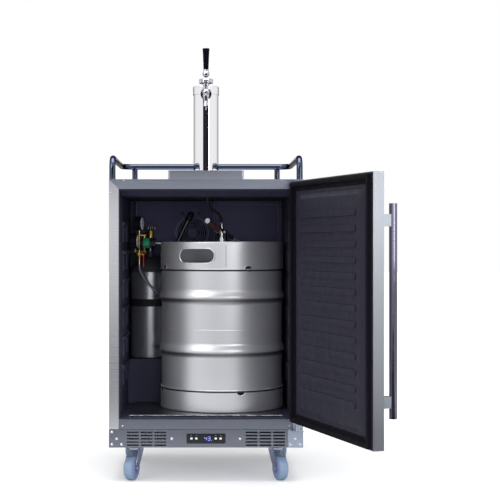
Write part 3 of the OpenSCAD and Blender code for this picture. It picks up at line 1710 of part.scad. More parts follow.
// Place beside the keg, by its angle from the back, its distance from the ribs and its height
function beside_keg(q) = [keg_x + (keg_r + q[1]) * sin(q[0]), keg_d + (keg_r + q[1]) * cos(q[0]), q[2]];
// Place on the beer line's way from the coupler to the tower's hole
function over_keg(q) = [keg_x + q[0] * line_way[0], keg_d + q[0] * line_way[1], coup_out + q[1]];

gas_route = concat([for (q = gas_drop) gas_start + q],
  [for (q = gas_behind) beside_keg([q[0], q[1], gas_start[2] + q[2]])],
  [for (q = gas_over) beside_keg([q[0], q[1], keg_top + q[2]])],
  [for (q = gas_in) inlet_end + q]);
beer_route = concat([for (q = beer_over) over_keg(q)], [[line_off, tower_d + line_off, z_ceiling + line_rise]],
  [for (q = beer_up) [0, tower_d + q[0], z_tap + q[1]]]);
air_start = [port_x - (port_arm + hose_gap) * sin(port_lean), cover_front - port_t - port_len,
  z_ceiling - port_drop - (port_arm + hose_gap) * cos(port_lean)];
air_route = concat([for (q = air_drop) air_start + q], [for (q = air_down)
  [socket_x + q[0], socket_d + q[1], z_plate + hose_gap + q[2]]]);

module gas_line() {
  color("lightgray") hose(gas_route, gas_hose_r, [1, 0, 0]);
}

module beer_line() {
  color("white") hose(beer_route, beer_hose_r, [1, 0, 0]);
}

module air_hose() {
  color("black") hose(air_route, air_hose_r, [1, 0, 0]);
}

// Casters, given by the side and the row that they stand in

function caster_x(side, rear) = side * (rear ? caster_rear_x : caster_front_x);
function caster_d(rear) = rear ? caster_rear_d : caster_front_d;
plate_z = caster_h - plate_t;
fork_top_z = plate_z - race_h - fork_gap;
fork_low_z = fork_top_z - fork_top_t;

module turned(side, rear) {
  at(caster_x(side, rear), caster_d(rear), 0) rotate([0, 0, side * caster_yaw]) children();
}

module caster_plates() {
  color("silver") for (side = [-1, 1], rear = [false, true]) at(caster_x(side, rear), caster_d(rear), 0)
    difference() {
      union() {
        translate([0, 0, plate_z]) linear_extrude(plate_t) rounded(plate_w, plate_w, plate_r);
        translate([0, 0, plate_z - race_h]) cylinder(r = race_r, h = race_h);
        translate([0, 0, fork_low_z - fork_gap]) cylinder(r = kingpin_r, h = plate_z - fork_low_z);
        translate([0, 0, fork_low_z - fork_gap - kingpin_head_h])
          cylinder(r = kingpin_head_r, h = kingpin_head_h);
      }
      for (bx = [-1, 1], bd = [-1, 1]) translate([bx * (plate_w / 2 - bolt_in), bd * (plate_w / 2 - bolt_in),
        plate_z - over]) cylinder(r = bolt_r, h = plate_t + 2 * over);
    }
}

module caster_fork(side, rear) {
  inner = wheel_w / 2 + fork_side_gap;
  leg_z = fork_low_z;
  color("silver") turned(side, rear) difference() {
    union() {
      translate([0, 0, fork_low_z]) cylinder(r = fork_top_r, h = fork_top_t);
      for (s = [-1, 1]) translate([s > 0 ? inner : -inner - fork_leg_t, 0, 0])
        rotate([90, 0, 90]) linear_extrude(fork_leg_t) {
          polygon([[-fork_top_r * 0.7, leg_z + fork_top_t], [fork_top_r * 0.7, leg_z + fork_top_t],
            [fork_top_r * 0.7, leg_z - fork_top_t], [fork_end_r - trail, wheel_r],
            [-fork_end_r - trail, wheel_r], [-fork_end_r - trail, wheel_r + fork_end_r]]);
          translate([-trail, wheel_r]) circle(r = fork_end_r);
        }
      translate([-inner - fork_leg_t - axle_head_t, -trail, wheel_r]) rotate([0, 90, 0])
        cylinder(r = axle_head_r, h = axle_head_t);
      translate([inner + fork_leg_t, -trail, wheel_r]) rotate([0, 90, 0])
        cylinder(r = axle_head_r, h = axle_head_t);
      translate([-inner - over, -trail, wheel_r]) rotate([0, 90, 0]) cylinder(r = axle_r,
        h = 2 * inner + 2 * over);
    }
    translate([0, 0, fork_low_z - over]) cylinder(r = kingpin_r + fit, h = fork_top_t + 2 * over);
  }
}

module caster_wheel(side, rear) {
  half = wheel_w / 2;
  turned(side, rear) translate([0, -trail, wheel_r]) rotate([0, 90, 0]) {
    color("slateblue") rotate_extrude() difference() {
      translate([axle_r + fit, -half]) square([hub_r - axle_r - fit, wheel_w]);
      for (s = [-1, 1]) translate([hub_r - hub_in, s > 0 ? half - groove_t : -half - over])
        square([hub_in / 2, groove_t + over]);
      for (s = [-1, 1]) translate([groove_r - hub_in, s > 0 ? half - hub_in : -half - over])
        square([hub_in, hub_in + over]);
    }
    color("steelblue") rotate_extrude() polygon(concat([[hub_r, -half + groove_t]],
      [for (a = [-90:15:0]) [wheel_r - tyre_round + tyre_round * cos(a),
        -half + groove_t + tyre_round + tyre_round * sin(a)]],
      [for (a = [0:15:90]) [wheel_r - tyre_round + tyre_round * cos(a),
        half - groove_t - tyre_round + tyre_round * sin(a)]],
      [[hub_r, half - groove_t]]));
  }
}

module caster_fork_fl() {
  caster_fork(-1, false);
}

module caster_fork_fr() {
  caster_fork(1, false);
}

module caster_fork_rl() {
  caster_fork(-1, true);
}

module caster_fork_rr() {
  caster_fork(1, true);
}

module caster_wheel_fl() {
  caster_wheel(-1, false);
}

module caster_wheel_fr() {
  caster_wheel(1, false);
}

module caster_wheel_rl() {
  caster_wheel(-1, true);
}

module caster_wheel_rr() {
  caster_wheel(1, true);
}

outer_case();
front_frame();
inner_liner();
insulation_foam();
keg_platform();
evaporator_cover();
evaporator_coil();
fan_motors();
base_frame();
toe_grille();
control_panel();
compressor();
condenser_coil();
case_screws();
hinge_brackets();
guard_rail();
tower_column();
tower_cap();
tap_shank();
faucet_body();
faucet_bonnet();
beer_line();
gas_line();
air_hose();
cylinder_strap();
caster_plates();
gas_cylinder();
cylinder_valve();
regulator();
shutoff_valve();
evaporator_fan();
condenser_fan();
button_power();
button_light();
button_down();
button_up();
drip_tray();
drip_grid();
faucet_shaft();
tap_lever();
tap_handle();
valve_handwheel();
regulator_adjuster();
shutoff_lever();
keg_shell();
coupler_body();
coupler_lever();
door_skin();
door_liner();
door_foam();
door_gasket();
door_handle();
caster_fork_fl();
caster_wheel_fl();
caster_fork_fr();
caster_wheel_fr();
caster_fork_rl();
caster_wheel_rl();
caster_fork_rr();
caster_wheel_rr();
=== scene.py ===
import bmesh
import bpy
import math
from mathutils import Matrix, Vector


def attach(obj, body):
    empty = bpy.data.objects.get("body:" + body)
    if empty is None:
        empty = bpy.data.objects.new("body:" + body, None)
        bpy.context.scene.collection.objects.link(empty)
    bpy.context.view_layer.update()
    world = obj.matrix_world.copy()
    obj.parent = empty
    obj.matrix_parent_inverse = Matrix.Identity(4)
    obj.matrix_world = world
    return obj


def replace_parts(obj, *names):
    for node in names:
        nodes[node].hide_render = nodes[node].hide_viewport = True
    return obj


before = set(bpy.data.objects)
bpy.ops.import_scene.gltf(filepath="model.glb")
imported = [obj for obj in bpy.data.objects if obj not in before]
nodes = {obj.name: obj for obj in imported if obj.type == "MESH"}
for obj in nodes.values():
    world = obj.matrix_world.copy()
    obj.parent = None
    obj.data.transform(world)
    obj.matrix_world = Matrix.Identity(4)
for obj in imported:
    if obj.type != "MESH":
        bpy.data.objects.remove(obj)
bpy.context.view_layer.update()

FRONT = -0.2725
C = bpy.context

# Places in millimetres: distance from the middle, depth behind the frame's face, height
KEG_X, KEG_D = 52, 253
KEG_RIBS = (398.7, 568.7)
KEG_CREASE_SHADES = (272.7, 653.7)
KEG_WELDS = (276.2, 657.4)
KEG_RIM_R = 200.4
GRIP_HALF, GRIP_LOW, GRIP_HIGH, GRIP_CORNER = 60.5, 676.2, 723.2, 23
COVER_D = 470
FAN_X, FAN_Z = -48, 776
GUARD_WIRE = 0.9
HANDLE_X, HANDLE_D, HANDLE_R = 501.3, -537.5, 11.2
COUPLER_Z, INLET_Z = 773.8, 783
GAUGE_D = 366
GAUGE_TURN = math.radians(16)
CASTERS = (("f", 221, 75), ("r", 240, 480))
CASTER_TRAIL, CASTER_TURN, WHEEL_R = 34, 19, 37.5
BOLT_OFF = 19
DIGIT_W, DIGIT_H, DIGIT_Z, DIGIT_BAR = 7, 11, 130, 0.95
MARK_Z = 144.8
WIRE_SIDES = 10


def rgb(r, g, b):
    """Linear colour of a display colour from 0 to 255."""
    return tuple(((c / 255 + 0.055) / 1.055) ** 2.4 if c > 10 else c / 3295 for c in (r, g, b))


def P(x, d, z):
    """Point from millimetres: distance from the middle, depth behind the frame's face, height."""
    return Vector((x / 1000, FRONT + d / 1000, z / 1000))


# Camera

cam = bpy.data.objects.new("photo_camera", bpy.data.cameras.new("photo_camera"))
C.scene.collection.objects.link(cam)
cam.location = (0, FRONT - 4.05, 0.735)
cam.rotation_euler = (math.pi / 2, 0, 0)
cam.data.lens = 94.4
cam.data.sensor_width = 36
cam.data.shift_x = 0.088
cam.data.shift_y = -0.0108
C.scene.camera = cam
C.scene.view_settings.view_transform = "Standard"


# Hoses: the same routes as in the solids, in millimetres from the middle, the frame's face and the floor

GAS = [(-224, 348, 667.8), (-222.3, 348, 652.1), (-216.6, 347.5, 637.3), (-208.9, 346.8, 623.6),
    (-199.3, 346, 611), (-188.6, 346.3, 599.3), (-177.2, 347.7, 588.4), (-165.9, 351.6, 578.1),
    (-154.9, 358.6, 569.1), (-144.3, 368, 562.3), (-133.4, 378.8, 558.4), (-121.8, 389.5, 557.1),
    (-110.2, 400.3, 556.6), (-98.4, 410.9, 556.6), (-86.6, 421.4, 557), (-74.2, 431.2, 558.1),
    (-61.1, 439.6, 560.9), (-47.5, 445.7, 566.2), (-34, 450.7, 572.7), (-20.7, 454.7, 580.3),
    (-7.8, 458, 589), (4.4, 460.5, 598.7), (16, 462.3, 609.4), (26.6, 463.9, 621), (36.3, 465.2, 633.5),
    (44.9, 466.2, 646.7), (52.2, 466.8, 660.8), (58.2, 467.1, 675.4), (62.7, 467, 690.6),
    (65.3, 466.9, 706.2), (66.9, 465.4, 721.9), (68.7, 460.4, 736.7), (70.6, 450.5, 748.7),
    (73.3, 436.8, 756), (77.3, 421.7, 757.7), (82.1, 406.7, 756.2), (87.1, 391.8, 754.1),
    (92.1, 376.9, 751.7), (97, 362.1, 749.5), (101.8, 347.2, 747.1), (106.5, 332.3, 744.5),
    (108.9, 316.7, 743.7), (106.5, 301.3, 746.1), (99.3, 288.2, 751.2), (88.8, 278.8, 758.3)]
BEER = [(52, 253, 801.9), (50.5, 251.5, 815.5), (46.1, 247, 827.7), (39.2, 240, 837.2), (30.6, 231.1, 843.2),
    (21.5, 221.8, 848), (13.5, 213.7, 855.6), (7.7, 207.6, 866.4), (4.9, 204.2, 879.5), (4.4, 203.9, 893.2),
    (4, 204.7, 907), (3.1, 206.6, 934.6), (2.1, 208.8, 962.1), (1.3, 211.1, 989.6), (0.6, 213.7, 1017.1),
    (-0.1, 216.5, 1044.6), (-0.3, 220.3, 1071.9), (-0.2, 224.7, 1099.2), (-0.1, 229.1, 1126.5),
    (0, 232.4, 1153.9), (0, 233.2, 1167.7), (0, 232.7, 1181.5), (0, 228.7, 1194.7), (0, 220.7, 1205.8),
    (0, 209.5, 1213.6), (0, 196.2, 1217)]
AIR = [(-62.5, 452, 816.2), (-74.8, 452, 790.9), (-86.9, 451.9, 765.5), (-97.8, 451.1, 739.7),
    (-104.9, 449.4, 712.6), (-106.6, 448, 684.6), (-106.5, 447.7, 656.5), (-106.1, 447.6, 628.4),
    (-105.6, 447.5, 600.3), (-104.6, 447.2, 544.1), (-103.2, 446.6, 487.9), (-101.8, 446, 431.7),
    (-100.3, 446, 375.5), (-99.3, 446, 319.2), (-98.9, 446, 263), (-98.9, 446, 234.9), (-99, 446, 206.8)]


class Shape:
    """Mesh piece put together from swept, turned and extruded forms."""

    def __init__(self):
        self.bm = bmesh.new()

    def skin(self, rows, closed=False):
        """Skin over rows of points, capped at both ends unless the last row joins the first."""
        rows = [[self.bm.verts.new(p) for p in r] for r in rows]
        n = len(rows[0])
        for a, b in zip(rows, rows[1:] + ([rows[0]] if closed else [])):
            for i in range(n):
                j = (i + 1) % n
                self.bm.faces.new((a[i], a[j], b[j], b[i]))
        if not closed:
            for r in (rows[0], rows[-1]):
                self.bm.faces.new(r)

    def turned(self, origin, way, profile, closed=False, sides=48):
        """Profile of (radius, distance along way) pairs in millimetres, turned about the line."""
        w = Vector(way).normalized()
        u = w.orthogonal().normalized()
        v = w.cross(u)
        o = Vector(origin)
        turns = [2 * math.pi * i / sides for i in range(sides)]
        self.skin([[o + (h * w + r * (math.cos(a) * u + math.sin(a) * v)) / 1000 for a in turns]
            for r, h in profile], closed)

    def ring(self, origin, way, radius, wire, sides=56):
        """Ring of round wire about the line."""
        steps = [2 * math.pi * i / WIRE_SIDES for i in range(WIRE_SIDES)]
        self.turned(origin, way, [(radius + wire * math.cos(a), wire * math.sin(a)) for a in steps],
            True, sides)

    def tube(self, points, radius, sides=16, closed=False):
        """Round tube along points, its section carried on without a twist."""
        n = len(points)
        rows, side = [], None
        for i in range(n):
            a = points[(i - 1) % n if closed else max(i - 1, 0)]
            b = points[(i + 1) % n if closed else min(i + 1, n - 1)]
            t = (b - a).normalized()
            side = t.orthogonal() if side is None else side - side.dot(t) * t
            side.normalize()
            up = t.cross(side)
            rows.append([points[i] + radius / 1000 * (math.cos(q) * side + math.sin(q) * up)
                for q in (2 * math.pi * k / sides for k in range(sides))])
        self.skin(rows, closed)

    def plate(self, outline, lift):
        """Outline of points, thickened by the vector lift."""
        self.skin([outline, [p + lift for p in outline]])

    def done(self, name, body, key, angle=40):
        """Turn the shape into a piece that rides a body; edges sharper than angle stay sharp."""
        bmesh.ops.recalc_face_normals(self.bm, faces=self.bm.faces)
        me = bpy.data.meshes.new(name)
        self.bm.to_mesh(me)
        self.bm.free()
        me.shade_smooth()
        me.set_sharp_from_angle(angle=math.radians(angle))
        o = bpy.data.objects.new(name, me)
        C.scene.collection.objects.link(o)
        me.materials.append(M[key].m)
        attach(o, body)
        return o


def fine(points, steps):
    """Smooth line through points given in millimetres."""
    p = [P(*q) for q in points]
    out = []
    for i in range(len(p) - 1):
        a, b, c, d = p[max(i - 1, 0)], p[i], p[i + 1], p[min(i + 2, len(p) - 1)]
        for k in range(steps):
            t = k / steps
            out.append(0.5 * (2 * b + (c - a) * t + (2 * a - 5 * b + 4 * c - d) * t * t
                + (3 * b - a - 3 * c + d) * t ** 3))
    return out + [p[-1]]


M = {}


def hose(name, node, route, radius, key, clamps):
    line = fine(route, 4)
    s = Shape()
    s.tube(line, radius, sides=20)
    o = s.done(name, "cabinet", key)
    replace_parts(o, node)
    for i, (at, size) in enumerate(clamps):
        a, b = (line[0], line[2]) if at == 0 else (line[-1], line[-3])
        c = Shape()
        r = radius + 0.2
        c.turned(a, b - a, [(r, 2), (r + size, 2), (r + size + 0.3, 2.6), (r + size, 3.2), (r + size, 7),
            (r + size + 0.3, 7.6), (r + size, 8.2), (r, 8.2)], closed=True)
        c.done(name + "_clamp_%d" % (i + 1), "cabinet", "zinc")


# Materials

class Mat:
    """A Principled material with helpers for procedural detail in object coordinates."""

    def __init__(self, name, color, rough=0.5, metal=0.0, **sockets):
        self.m = bpy.data.materials.new(name)
        self.m.use_nodes = True
        self.t = self.m.node_tree
        self.b = self.t.nodes["Principled BSDF"]
        self.set("Base Color", (*color, 1))
        self.set("Roughness", rough)
        self.set("Metallic", metal)
        for k, v in sockets.items():
            self.set(k.replace("_", " "), v)
        self.color = color
        self.coord = self.t.nodes.new("ShaderNodeTexCoord").outputs["Object"]

    def set(self, socket, value):
        self.b.inputs[socket].default_value = value

    def node(self, kind, **settings):
        n = self.t.nodes.new("ShaderNode" + kind)
        for k, v in settings.items():
            setattr(n, k, v)
        return n

    def join(self, a, b):
        self.t.links.new(a, b)

    def mapped(self, scale):
        n = self.node("Mapping")
        n.inputs["Scale"].default_value = scale
        self.join(self.coord, n.inputs["Vector"])
        return n.outputs["Vector"]

    def noise(self, scale, detail=3.0, rough=0.55):
        n = self.node("TexNoise")
        n.inputs["Scale"].default_value = 1
        n.inputs["Detail"].default_value = detail
        n.inputs["Roughness"].default_value = rough
        s = scale if hasattr(scale, "__len__") else (scale,) * 3
        self.join(self.mapped(s), n.inputs["Vector"])
        return n.outputs["Fac"]

    def axis(self, name):
        n = self.node("SeparateXYZ")
        self.join(self.coord, n.inputs[0])
        return n.outputs[name]

    def remap(self, value, lo, hi, to_lo, to_hi, smooth=False):
        n = self.node("MapRange")
        if smooth:
            n.interpolation_type = "SMOOTHSTEP"
        self.join(value, n.inputs["Value"])
        for k, v in zip(("From Min", "From Max", "To Min", "To Max"), (lo, hi, to_lo, to_hi)):
            n.inputs[k].default_value = v
        return n.outputs["Result"]

    def math(self, op, a, b=None):
        n = self.node("Math", operation=op)
        for i, v in enumerate((a, b)):
            if v is None:
                continue
            if isinstance(v, (int, float)):
                n.inputs[i].default_value = v
            else:
                self.join(v, n.inputs[i])
        return n.outputs[0]

    def mix(self, fac, a, b):
        n = self.node("Mix", data_type="RGBA")
        self.join(fac, n.inputs["Factor"])
        for v, s in ((a, n.inputs[6]), (b, n.inputs[7])):
            if hasattr(v, "__len__"):
                s.default_value = (*v, 1)
            else:
                self.join(v, s)
        return n.outputs[2]

    def shade(self, fac, lo, hi, base=None):
        """Base colour times a factor that follows fac."""
        n = self.node("Mix", data_type="RGBA", blend_type="MULTIPLY")
        n.inputs["Factor"].default_value = 1
        c = base if base is not None else self.color
        if hasattr(c, "__len__"):
            n.inputs[6].default_value = (*c, 1)
        else:
            self.join(c, n.inputs[6])
        g = self.node("CombineColor")
        v = self.remap(fac, 0, 1, lo, hi)
        for i in range(3):
            self.join(v, g.inputs[i])
        self.join(g.outputs[0], n.inputs[7])
        return n.outputs[2]

    def paint(self, color):
        self.join(color, self.b.inputs["Base Color"])

    def vector(self, op, a, b):
        n = self.node("VectorMath", operation=op)
        for v, s in ((a, n.inputs[0]), (b, n.inputs[1])):
            if hasattr(v, "__len__"):
                s.default_value = v
            else:
                self.join(v, s)
        return n

    def off_line(self, point, way):
        """Distance from the line through point along way."""
        away = self.vector("SUBTRACT", self.coord, tuple(point)).outputs[0]
        across = self.vector("CROSS_PRODUCT", away, tuple(Vector(way).normalized())).outputs[0]
        return self.vector("LENGTH", across, (0, 0, 0)).outputs["Value"]

    def along(self, point, way):
        """Distance from point, measured along way."""
        away = self.vector("SUBTRACT", self.coord, tuple(point)).outputs[0]
        return self.vector("DOT_PRODUCT", away, tuple(Vector(way).normalized())).outputs["Value"]

    def within(self, value, lo, hi):
        return self.math("MULTIPLY", self.math("GREATER_THAN", value, lo), self.math("LESS_THAN", value, hi))

    def zone(self, mask, color, rough, metal):
        """Where mask is 1 the surface has this colour, roughness and metallic share instead."""
        for socket, v in (("Roughness", rough), ("Metallic", metal)):
            s = self.b.inputs[socket]
            n = self.node("Mix")
            if s.links:
                self.join(s.links[0].from_socket, n.inputs[2])
            else:
                n.inputs[2].default_value = s.default_value
            n.inputs[3].default_value = v
            self.join(mask, n.inputs[0])
            self.join(n.outputs[0], s)
        s = self.b.inputs["Base Color"]
        old = s.links[0].from_socket if s.links else self.color
        self.join(self.mix(mask, old, self.shade(self.noise(30, 3), 0.88, 1.1, color)), s)

    def rough(self, value):
        self.join(value, self.b.inputs["Roughness"])

    def bump(self, height, distance, strength=1.0):
        n = self.node("Bump")
        n.inputs["Strength"].default_value = strength
        n.inputs["Distance"].default_value = distance
        self.join(height, n.inputs["Height"])
        self.join(n.outputs["Normal"], self.b.inputs["Normal"])


def brushed(name, color, grain, rough=0.28, aniso=0.5, spread=0.025, wear=0.05, metal=1.0, **kw):
    """Brushed metal; grain holds the noise scale along X, Y and Z, low along the strokes."""
    m = Mat(name, color, rough, metal, Anisotropic=aniso, **kw)
    fine_grain = m.noise(grain, 4, 0.7)
    broad = m.noise(2.2, 2, 0.5)
    dulled = m.noise(1.7, 2, 0.5)
    m.rough(m.math("ADD", m.remap(fine_grain, 0.3, 0.7, rough - spread, rough + spread),
        m.remap(dulled, 0.3, 0.7, 0, 0.03)))
    m.paint(m.shade(fine_grain, 0.975, 1.02, m.shade(broad, 1 - wear, 1 + wear)))
    m.bump(fine_grain, 0.000004, 0.04)
    return m


def moulded(name, color, rough=0.45, grain=900, depth=0.00004, vary=0.12, **kw):
    """Plastic or rubber; grain is the scale of its texture, depth the texture's height in metres."""
    m = Mat(name, color, rough, 0.0, **kw)
    m.paint(m.shade(m.noise(9, 3), 1 - vary, 1 + vary))
    m.rough(m.remap(m.noise(34, 3), 0.3, 0.7, rough - 0.06, rough + 0.08))
    m.bump(m.noise(grain, 2), depth, 0.5)
    return m


def polished(name, color, rough=0.06, wear=0.05, ripple=0.06, **kw):
    """Smooth metal with faint wear; ripple is the strength of its waviness."""
    m = Mat(name, color, rough, 1.0, **kw)
    m.rough(m.remap(m.noise(40, 4, 0.6), 0.35, 0.75, rough * 0.6, rough * 1.8))
    m.paint(m.shade(m.noise(12, 3), 1 - wear, 1 + wear / 2))
    m.bump(m.noise(160, 2), 0.00001, ripple)
    return m


ALONG_X = (4, 1300, 1300)
ALONG_Z = (1300, 1300, 4)
DULL = {"Specular_IOR_Level": 0.25}
EDGE = {"Specular_Tint": (0.05, 0.05, 0.07, 1)}

M["steel_x"] = brushed("steel_brushed_across", rgb(182, 187, 202), ALONG_X)
M["steel_z"] = brushed("steel_brushed_upright", rgb(180, 184, 192), ALONG_Z)
# The toe grille's steel is painted darker than the other steel: painted shade
M["steel_toe_painted_shade"] = brushed("steel_toe_painted_shade", rgb(128, 132, 144), ALONG_X)
M["steel_case"] = brushed("steel_case", rgb(176, 179, 188), ALONG_Z)
liner = moulded("liner_grey", rgb(44, 44, 62), 0.5, 1400, 0.00003, **DULL)
# The back wall beside the cooling cover is painted lighter than the rest of the liner: painted light
liner.zone(liner.math("MULTIPLY", liner.math("GREATER_THAN", liner.axis("X"), 0.03),
    liner.math("GREATER_THAN", liner.axis("Y"), 0.2)), rgb(66, 65, 92), 0.45, 0.0)
M["liner"] = liner
M["door_liner"] = moulded("door_liner_grey", rgb(33, 32, 47), 0.6, 1400, 0.000006, 0.03, **DULL)
cover = moulded("cover_grey", rgb(52, 52, 78), 0.5, 2400, 0.00002, 0.05, **DULL)
cover.zone(cover.math("LESS_THAN", cover.axis("Y"), 0.1949), rgb(20, 20, 27), 0.2, 0.0)
M["cover"] = cover
# Fan guard: lighter than the cover, as painted highlight on its black wires
M["guard"] = moulded("guard_painted_highlight", rgb(88, 88, 112), 0.4, 800, 0.00002)
# Rounded edges of the cover and recess: lighter grey, painted highlight
M["cover_edge"] = moulded("cover_edge_painted_highlight", rgb(84, 83, 108), 0.32, 800, 0.00002)
M["gasket"] = moulded("gasket_rubber", rgb(11, 10, 17), 0.65, 700, 0.00001, 0.08, Specular_IOR_Level=0.08)
M["tap_black"] = moulded("tap_handle_black", rgb(8, 9, 19), 0.5, 200, 0.000002, 0.1, Specular_IOR_Level=0.04)
M["wheel_black"] = moulded("handwheel_black", rgb(20, 20, 26), 0.2, 200, 0.000004, 0.1, Coat_Weight=1.0)
M["black"] = moulded("black_plastic", rgb(22, 22, 28), 0.3, 500, 0.00001, 0.08, **DULL)
strap = Mat("strap_webbing", rgb(20, 19, 26), 0.6)
weave = strap.node("TexWave", bands_direction="DIAGONAL")
weave.inputs["Scale"].default_value = 260
weave.inputs["Distortion"].default_value = 1.5
strap.join(strap.coord, weave.inputs["Vector"])
strap.paint(strap.shade(weave.outputs["Fac"], 0.75, 1.2))
strap.bump(weave.outputs["Fac"], 0.0004, 0.6)
M["strap"] = strap
M["duct"] = moulded("duct_rubber", rgb(22, 21, 28), 0.16, 240, 0.00002, Coat_Weight=1.0,
    Specular_IOR_Level=0.9)
M["gas_hose"] = moulded("gas_hose_grey", rgb(92, 93, 104), 0.16, 300, 0.00001, Coat_Weight=1.0,
    Specular_IOR_Level=0.9)
M["beer_hose"] = moulded("beer_hose_black", rgb(26, 26, 32), 0.3, 300, 0.00003, Coat_Weight=0.3)
M["panel"] = moulded("panel_black", rgb(10, 10, 14), 0.14, 300, 0.000005)
M["chrome"] = polished("chrome", rgb(202, 203, 212), 0.07, **EDGE)
M["tower"] = polished("tower_steel", rgb(236, 236, 239), 0.02, 0.02, 0.0, **EDGE)
M["rail"] = polished("rail_steel", rgb(78, 86, 106), 0.14, **EDGE)
M["zinc"] = brushed("zinc_plated", rgb(168, 178, 196), 260, 0.3, 0.0, 0.08, 0.15)
M["bright_screw"] = polished("screw_steel", rgb(224, 226, 232), 0.22)
M["fins"] = brushed("coil_metal", rgb(190, 190, 192), 300, 0.4, 0.0)
M["foam"] = moulded("foam", rgb(214, 202, 160), 0.8, 300, 0.0004)
M["red"] = moulded("red_lever", rgb(196, 26, 40), 0.35, 400)
M["white"] = moulded("button_white", rgb(225, 226, 232), 0.35, 400)
M["dial"] = moulded("dial_white", rgb(226, 232, 244), 0.35, 400, Coat_Weight=0.6)
M["ink"] = moulded("dial_ink", rgb(24, 24, 34), 0.5, 400)
M["bezel"] = moulded("gauge_black", rgb(20, 20, 26), 0.25, 700)
M["platform"] = brushed("platform_steel", rgb(92, 94, 106), ALONG_X, 0.3)
# Floor plate's front edge: painted highlight
M["plate_edge"] = polished("plate_edge_painted_highlight", rgb(226, 228, 234), 0.2)
glow = Mat("display_digits", rgb(80, 90, 190), 0.4)
glow.set("Emission Color", (*rgb(158, 164, 255), 1))
glow.set("Emission Strength", 0.95)
glow.paint(glow.shade(glow.noise(700), 0.8, 1.2))
M["glow"] = glow
icon = Mat("panel_marks", rgb(150, 152, 162), 0.5)
icon.paint(icon.shade(icon.noise(500), 0.85, 1.1))
M["icon"] = icon

# Handle: dark polished bar on pale posts
bar = polished("handle_steel", rgb(132, 130, 148), 0.09, **EDGE)
bar.zone(bar.math("GREATER_THAN", bar.off_line(P(HANDLE_X, HANDLE_D, 500), (0, 0, 1)),
    HANDLE_R / 1000),
    rgb(206, 214, 224), 0.2, 1.0)
M["handle"] = bar

# Keg: satin steel brushed round its axis, with dark bands of painted shade under its ribs and at the creases
# by its rims, and a welded seam
keg = brushed("keg_steel", rgb(228, 229, 234), (6, 6, 1300), 0.38, 0.4, 0.03, 0.05, 0.88)
rise = keg.axis("Z")
# Painted shade: dark bands on the lower halves of the two ribs
rib_painted_shade = keg.math("MAXIMUM", *(keg.math("MULTIPLY",
    keg.remap(rise, z / 1000 - 0.024, z / 1000 - 0.012, 0, 1, True),
    keg.remap(rise, z / 1000 - 0.008, z / 1000 - 0.001, 1, 0, True)) for z in KEG_RIBS))
keg.paint(keg.shade(rib_painted_shade, 1, 0.22, keg.b.inputs["Base Color"].links[0].from_socket))
# Painted shade: dark bands standing in for the creases just under the rolled rims
for z in KEG_CREASE_SHADES:
    keg.zone(keg.within(keg.axis("Z"), z / 1000 - 0.0028, z / 1000 + 0.0028), rgb(70, 70, 78), 0.5, 0.8)
seam = keg.math("MULTIPLY", keg.within(keg.axis("X"), 0.0619, 0.0633), keg.math("MULTIPLY",
    keg.math("LESS_THAN", keg.axis("Y"), -0.15), keg.within(keg.axis("Z"), 0.664, 0.733)))
keg.zone(seam, rgb(120, 120, 128), 0.5, 1.0)
M["keg"] = keg

# Gas bottle: brushed aluminium with a dark painted shoulder
bottle = brushed("bottle_aluminium", rgb(222, 224, 232), (6, 6, 1300), 0.2, 0.4, 0.03, 0.04, 0.95)
bottle.zone(bottle.math("GREATER_THAN", bottle.axis("Z"), 0.642), rgb(52, 51, 58), 0.42, 0.1)
M["bottle"] = bottle

# Dark sheets in the keg's vent holes as painted shade, and the keg's rolled edges
M["vent_painted_shade"] = moulded("vent_painted_shade", rgb(12, 12, 16), 0.7, 300, **DULL)
M["keg_rim"] = brushed("keg_rim_steel", rgb(220, 221, 226), 300, 0.3, 0.0, metal=0.8)

# Cylinder valve: brass on a pale neck
valve = polished("valve_brass", rgb(214, 176, 98), 0.34, 0.1)
valve.zone(valve.math("LESS_THAN", valve.axis("Z"), 0.752), rgb(186, 188, 194), 0.22, 1.0)
M["valve"] = valve

# Regulator: brass, with black gauge cases, a dark bonnet and a green band
AXIS_HIGH, AXIS_LOW = P(-225, GAUGE_D, 806), P(-238, GAUGE_D, 747)
FACING = Vector((math.cos(GAUGE_TURN), -math.sin(GAUGE_TURN), 0))
reg = polished("regulator_brass", rgb(214, 176, 98), 0.3, 0.12)
for centre, size in ((AXIS_HIGH, 24.3), (AXIS_LOW, 26.3)):
    near = reg.math("LESS_THAN", reg.off_line(centre, FACING), size / 1000)
    reg.zone(reg.math("MULTIPLY", near, reg.within(reg.along(centre, FACING), -0.0123, 0.0123)),
        rgb(20, 20, 26), 0.3, 0.0)
off = reg.off_line(P(0, GAUGE_D, 741), (1, 0, 0))
bonnet = reg.math("MULTIPLY", reg.math("LESS_THAN", off, 0.0173), reg.within(reg.axis("X"), -0.2165, -0.1695))
reg.zone(bonnet, rgb(30, 29, 36), 0.36, 0.0)
band = reg.math("MULTIPLY", reg.within(off, 0.0174, 0.0182), reg.within(reg.axis("X"), -0.2115, -0.1895))
reg.zone(band, rgb(24, 132, 92), 0.4, 0.0)
M["regulator"] = reg

# Shutoff valve: brass above a pale hose tail
shut = polished("shutoff_brass", rgb(214, 176, 98), 0.3, 0.12)
shut.zone(shut.math("LESS_THAN", shut.axis("Z"), 0.6765), rgb(206, 208, 214), 0.2, 1.0)
M["shutoff"] = shut

# Screws: bright at the front, black inside the cabinet
screws = polished("screw_zinc", rgb(224, 226, 232), 0.22)
screws.zone(screws.math("GREATER_THAN", screws.axis("Y"), 0.0), rgb(18, 18, 24), 0.35, 0.0)
M["screws"] = screws

